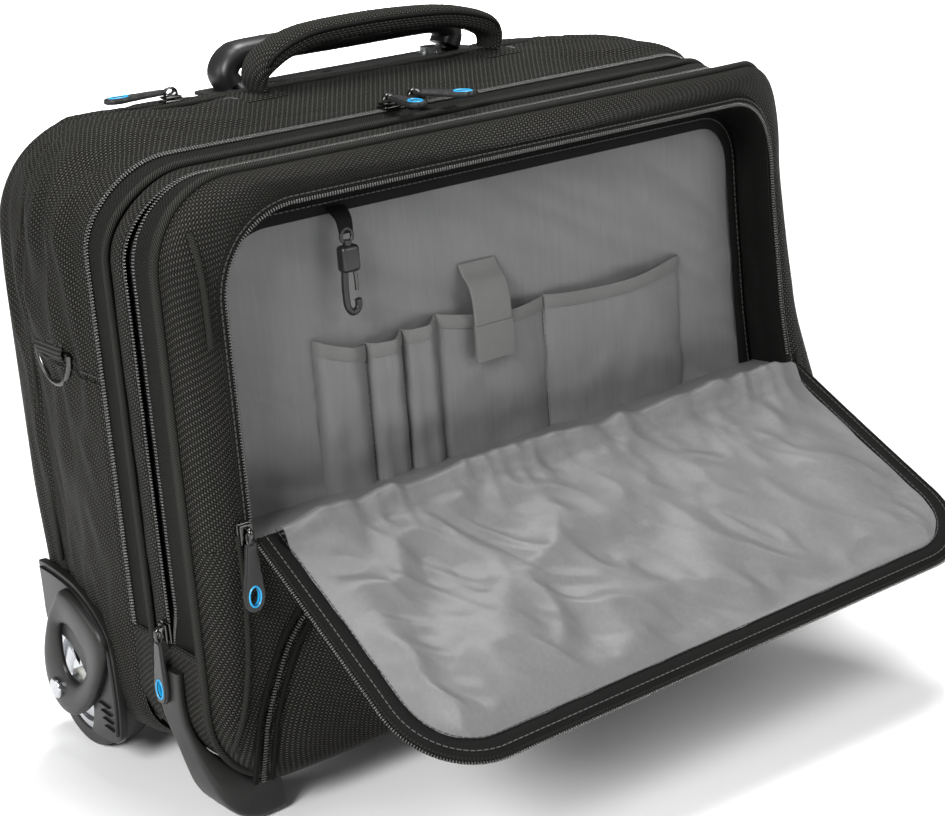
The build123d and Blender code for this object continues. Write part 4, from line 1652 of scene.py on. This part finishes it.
hookBody = sized("hookBody", 11.0, 7.6, 14.0, (0, 0, 0), 2.4, 4)
hookBody.data.transform(Matrix.Translation(spot(hook["x"], hook["y"], 284.5)))
smooth(hookBody, 50)
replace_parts(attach(dress(hookBody, "gripPlastic"), "key_hook"), "snap_hook")
hookWire("hookSwivel", [(0, 286), (0, 291.5), (0, 292.5), (0, 294)], 2.4, "key_hook")
hookWire("hookEye", [(-2.6, 293.5), (-3.4, 296), (-2.2, 299), (0, 300), (2.2, 299), (3.4, 296), (2.6, 293.5)],
         1.1, "key_hook")
hookWire("hookBow", [(-2.6, 281), (-3.4, 274), (-3.6, 266), (-3.0, 259.5), (-0.2, 256.2), (3.0, 257.6),
                     (3.8, 260.5), (3.5, 262.5)], 1.9, "key_hook")
hookGate = hookWire("hookGate", [(2.8, 280.5), (3.3, 275), (3.5, 270), (3.4, 267.2)], 1.1, "gate", "gunmetal")
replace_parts(hookGate, "hook_gate")

hookTab = sweep("hookTab", smoothPath(tabPath, 5), widthAxis, lambda t: 12 - 4 * t, 2.0, "binding", 12, 0.4)
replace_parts(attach(hookTab, "front_section"), "hook_tab")


def quiltedPad(name, half, low, top, radius, y, node, body, seams):
    def place(u, v):
        z = crowded(v, low, top)
        x, edge = onPanel(u, z, half, low, top, radius)
        puff = 1.6 * ease(min(edge, z - low) / 10)
        for seam in seams:
            puff -= 1.2 * math.exp(-((z - seam) / 2.5) ** 2)
        return spot(x, y - puff, z)
    pad = cloth(name, 60, 60, place, forward, "lining", 2.6)
    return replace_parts(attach(pad, body), node)


quiltedPad("laptopDivider", 175, 36, 290, 20, 124.5, "laptop_divider", "case", (100, 165, 230))
quiltedPad("middleDivider", 209, 106, 336, 40, 49.5, "mid_divider", "main_front", (160, 220, 280))
print("inner pieces made")

# finishes on the CAD nodes that stay
carried = {
    "plastic": ("tube_foot",),
    "gripPlastic": ("grip_button", "back_board"),
    "chrome": ("hub_left", "hub_right"),
    "steel": ("wheel_axles", "outer_tubes", "middle_tubes", "inner_tubes", "button_spring"),
    "bush": ("wheel_bushes",),
}
for finish, names in carried.items():
    for name in names:
        node = frame["nodes"][name]
        node.data.materials.clear()
        node.data.materials.append(finishes[finish])


# floor, light, camera
def makeStage():
    floor = newShape(bpy.ops.mesh.primitive_plane_add, "floor", size=14)
    paper = bpy.data.materials.new("floorPaper")
    paper.use_nodes = True
    shader = paper.node_tree.nodes["Principled BSDF"]
    shader.inputs["Base Color"].default_value = (0.86, 0.86, 0.86, 1)
    shader.inputs["Roughness"].default_value = 0.8
    floor.data.materials.append(paper)
    world = bpy.data.worlds.new("studio")
    bpy.context.scene.world = world
    world.use_nodes = True
    tree = world.node_tree
    tree.nodes["Background"].inputs[0].default_value = (1, 1, 1, 1)
    seen = tree.nodes.new("ShaderNodeLightPath")
    strength = calc(tree, "MULTIPLY_ADD", seen.outputs["Is Camera Ray"], 0.8, 0.2)
    tree.links.new(strength, tree.nodes["Background"].inputs[1])
    onCase, behindCase = Vector((0, 0, 0.17)), Vector((2.4, 3.3, 0))
    lamps = {
        "keyLamp": ((-2.0, -1.1, 1.5), onCase, 0.8, 76.0),
        "sideLamp": ((-2.2, 0.8, 0.9), onCase, 0.7, 13.0),
        "fillLamp": ((1.1, -2.2, 1.3), onCase, 1.2, 30.0),
        "topLamp": ((0.3, 0.1, 2.3), onCase, 1.0, 68.0),
        "floorLamp": ((2.2, 2.9, 2.4), behindCase, 3.2, 230.0),
    }
    for name, (place, target, size, power) in lamps.items():
        bpy.ops.object.light_add(type="AREA", location=place)
        lamp = bpy.context.object
        lamp.name = name
        lamp.data.size = size
        lamp.data.energy = power
        if name == "floorLamp":
            lamp.data.spread = math.radians(92)
        aim = target - Vector(place)
        lamp.rotation_euler = aim.to_track_quat("-Z", "Y").to_euler()


def makeCamera():
    bpy.ops.object.camera_add(location=(-0.6781, -0.8893, 0.5306))
    camera = bpy.context.object
    camera.name = "camera"
    camera.data.lens = 80.39
    camera.data.sensor_width = 36
    right = Vector((0.79035, -0.60827, -0.07311))
    up = Vector((0.23993, 0.19752, 0.95048))
    behind = Vector((-0.56372, -0.76876, 0.30205))
    turn = Matrix((right, up, behind)).transposed()
    camera.rotation_euler = turn.to_euler()
    bpy.context.scene.camera = camera


makeStage()
makeCamera()
bpy.context.scene.view_settings.view_transform = "Standard"
bpy.context.view_layer.update()
print("scene done")
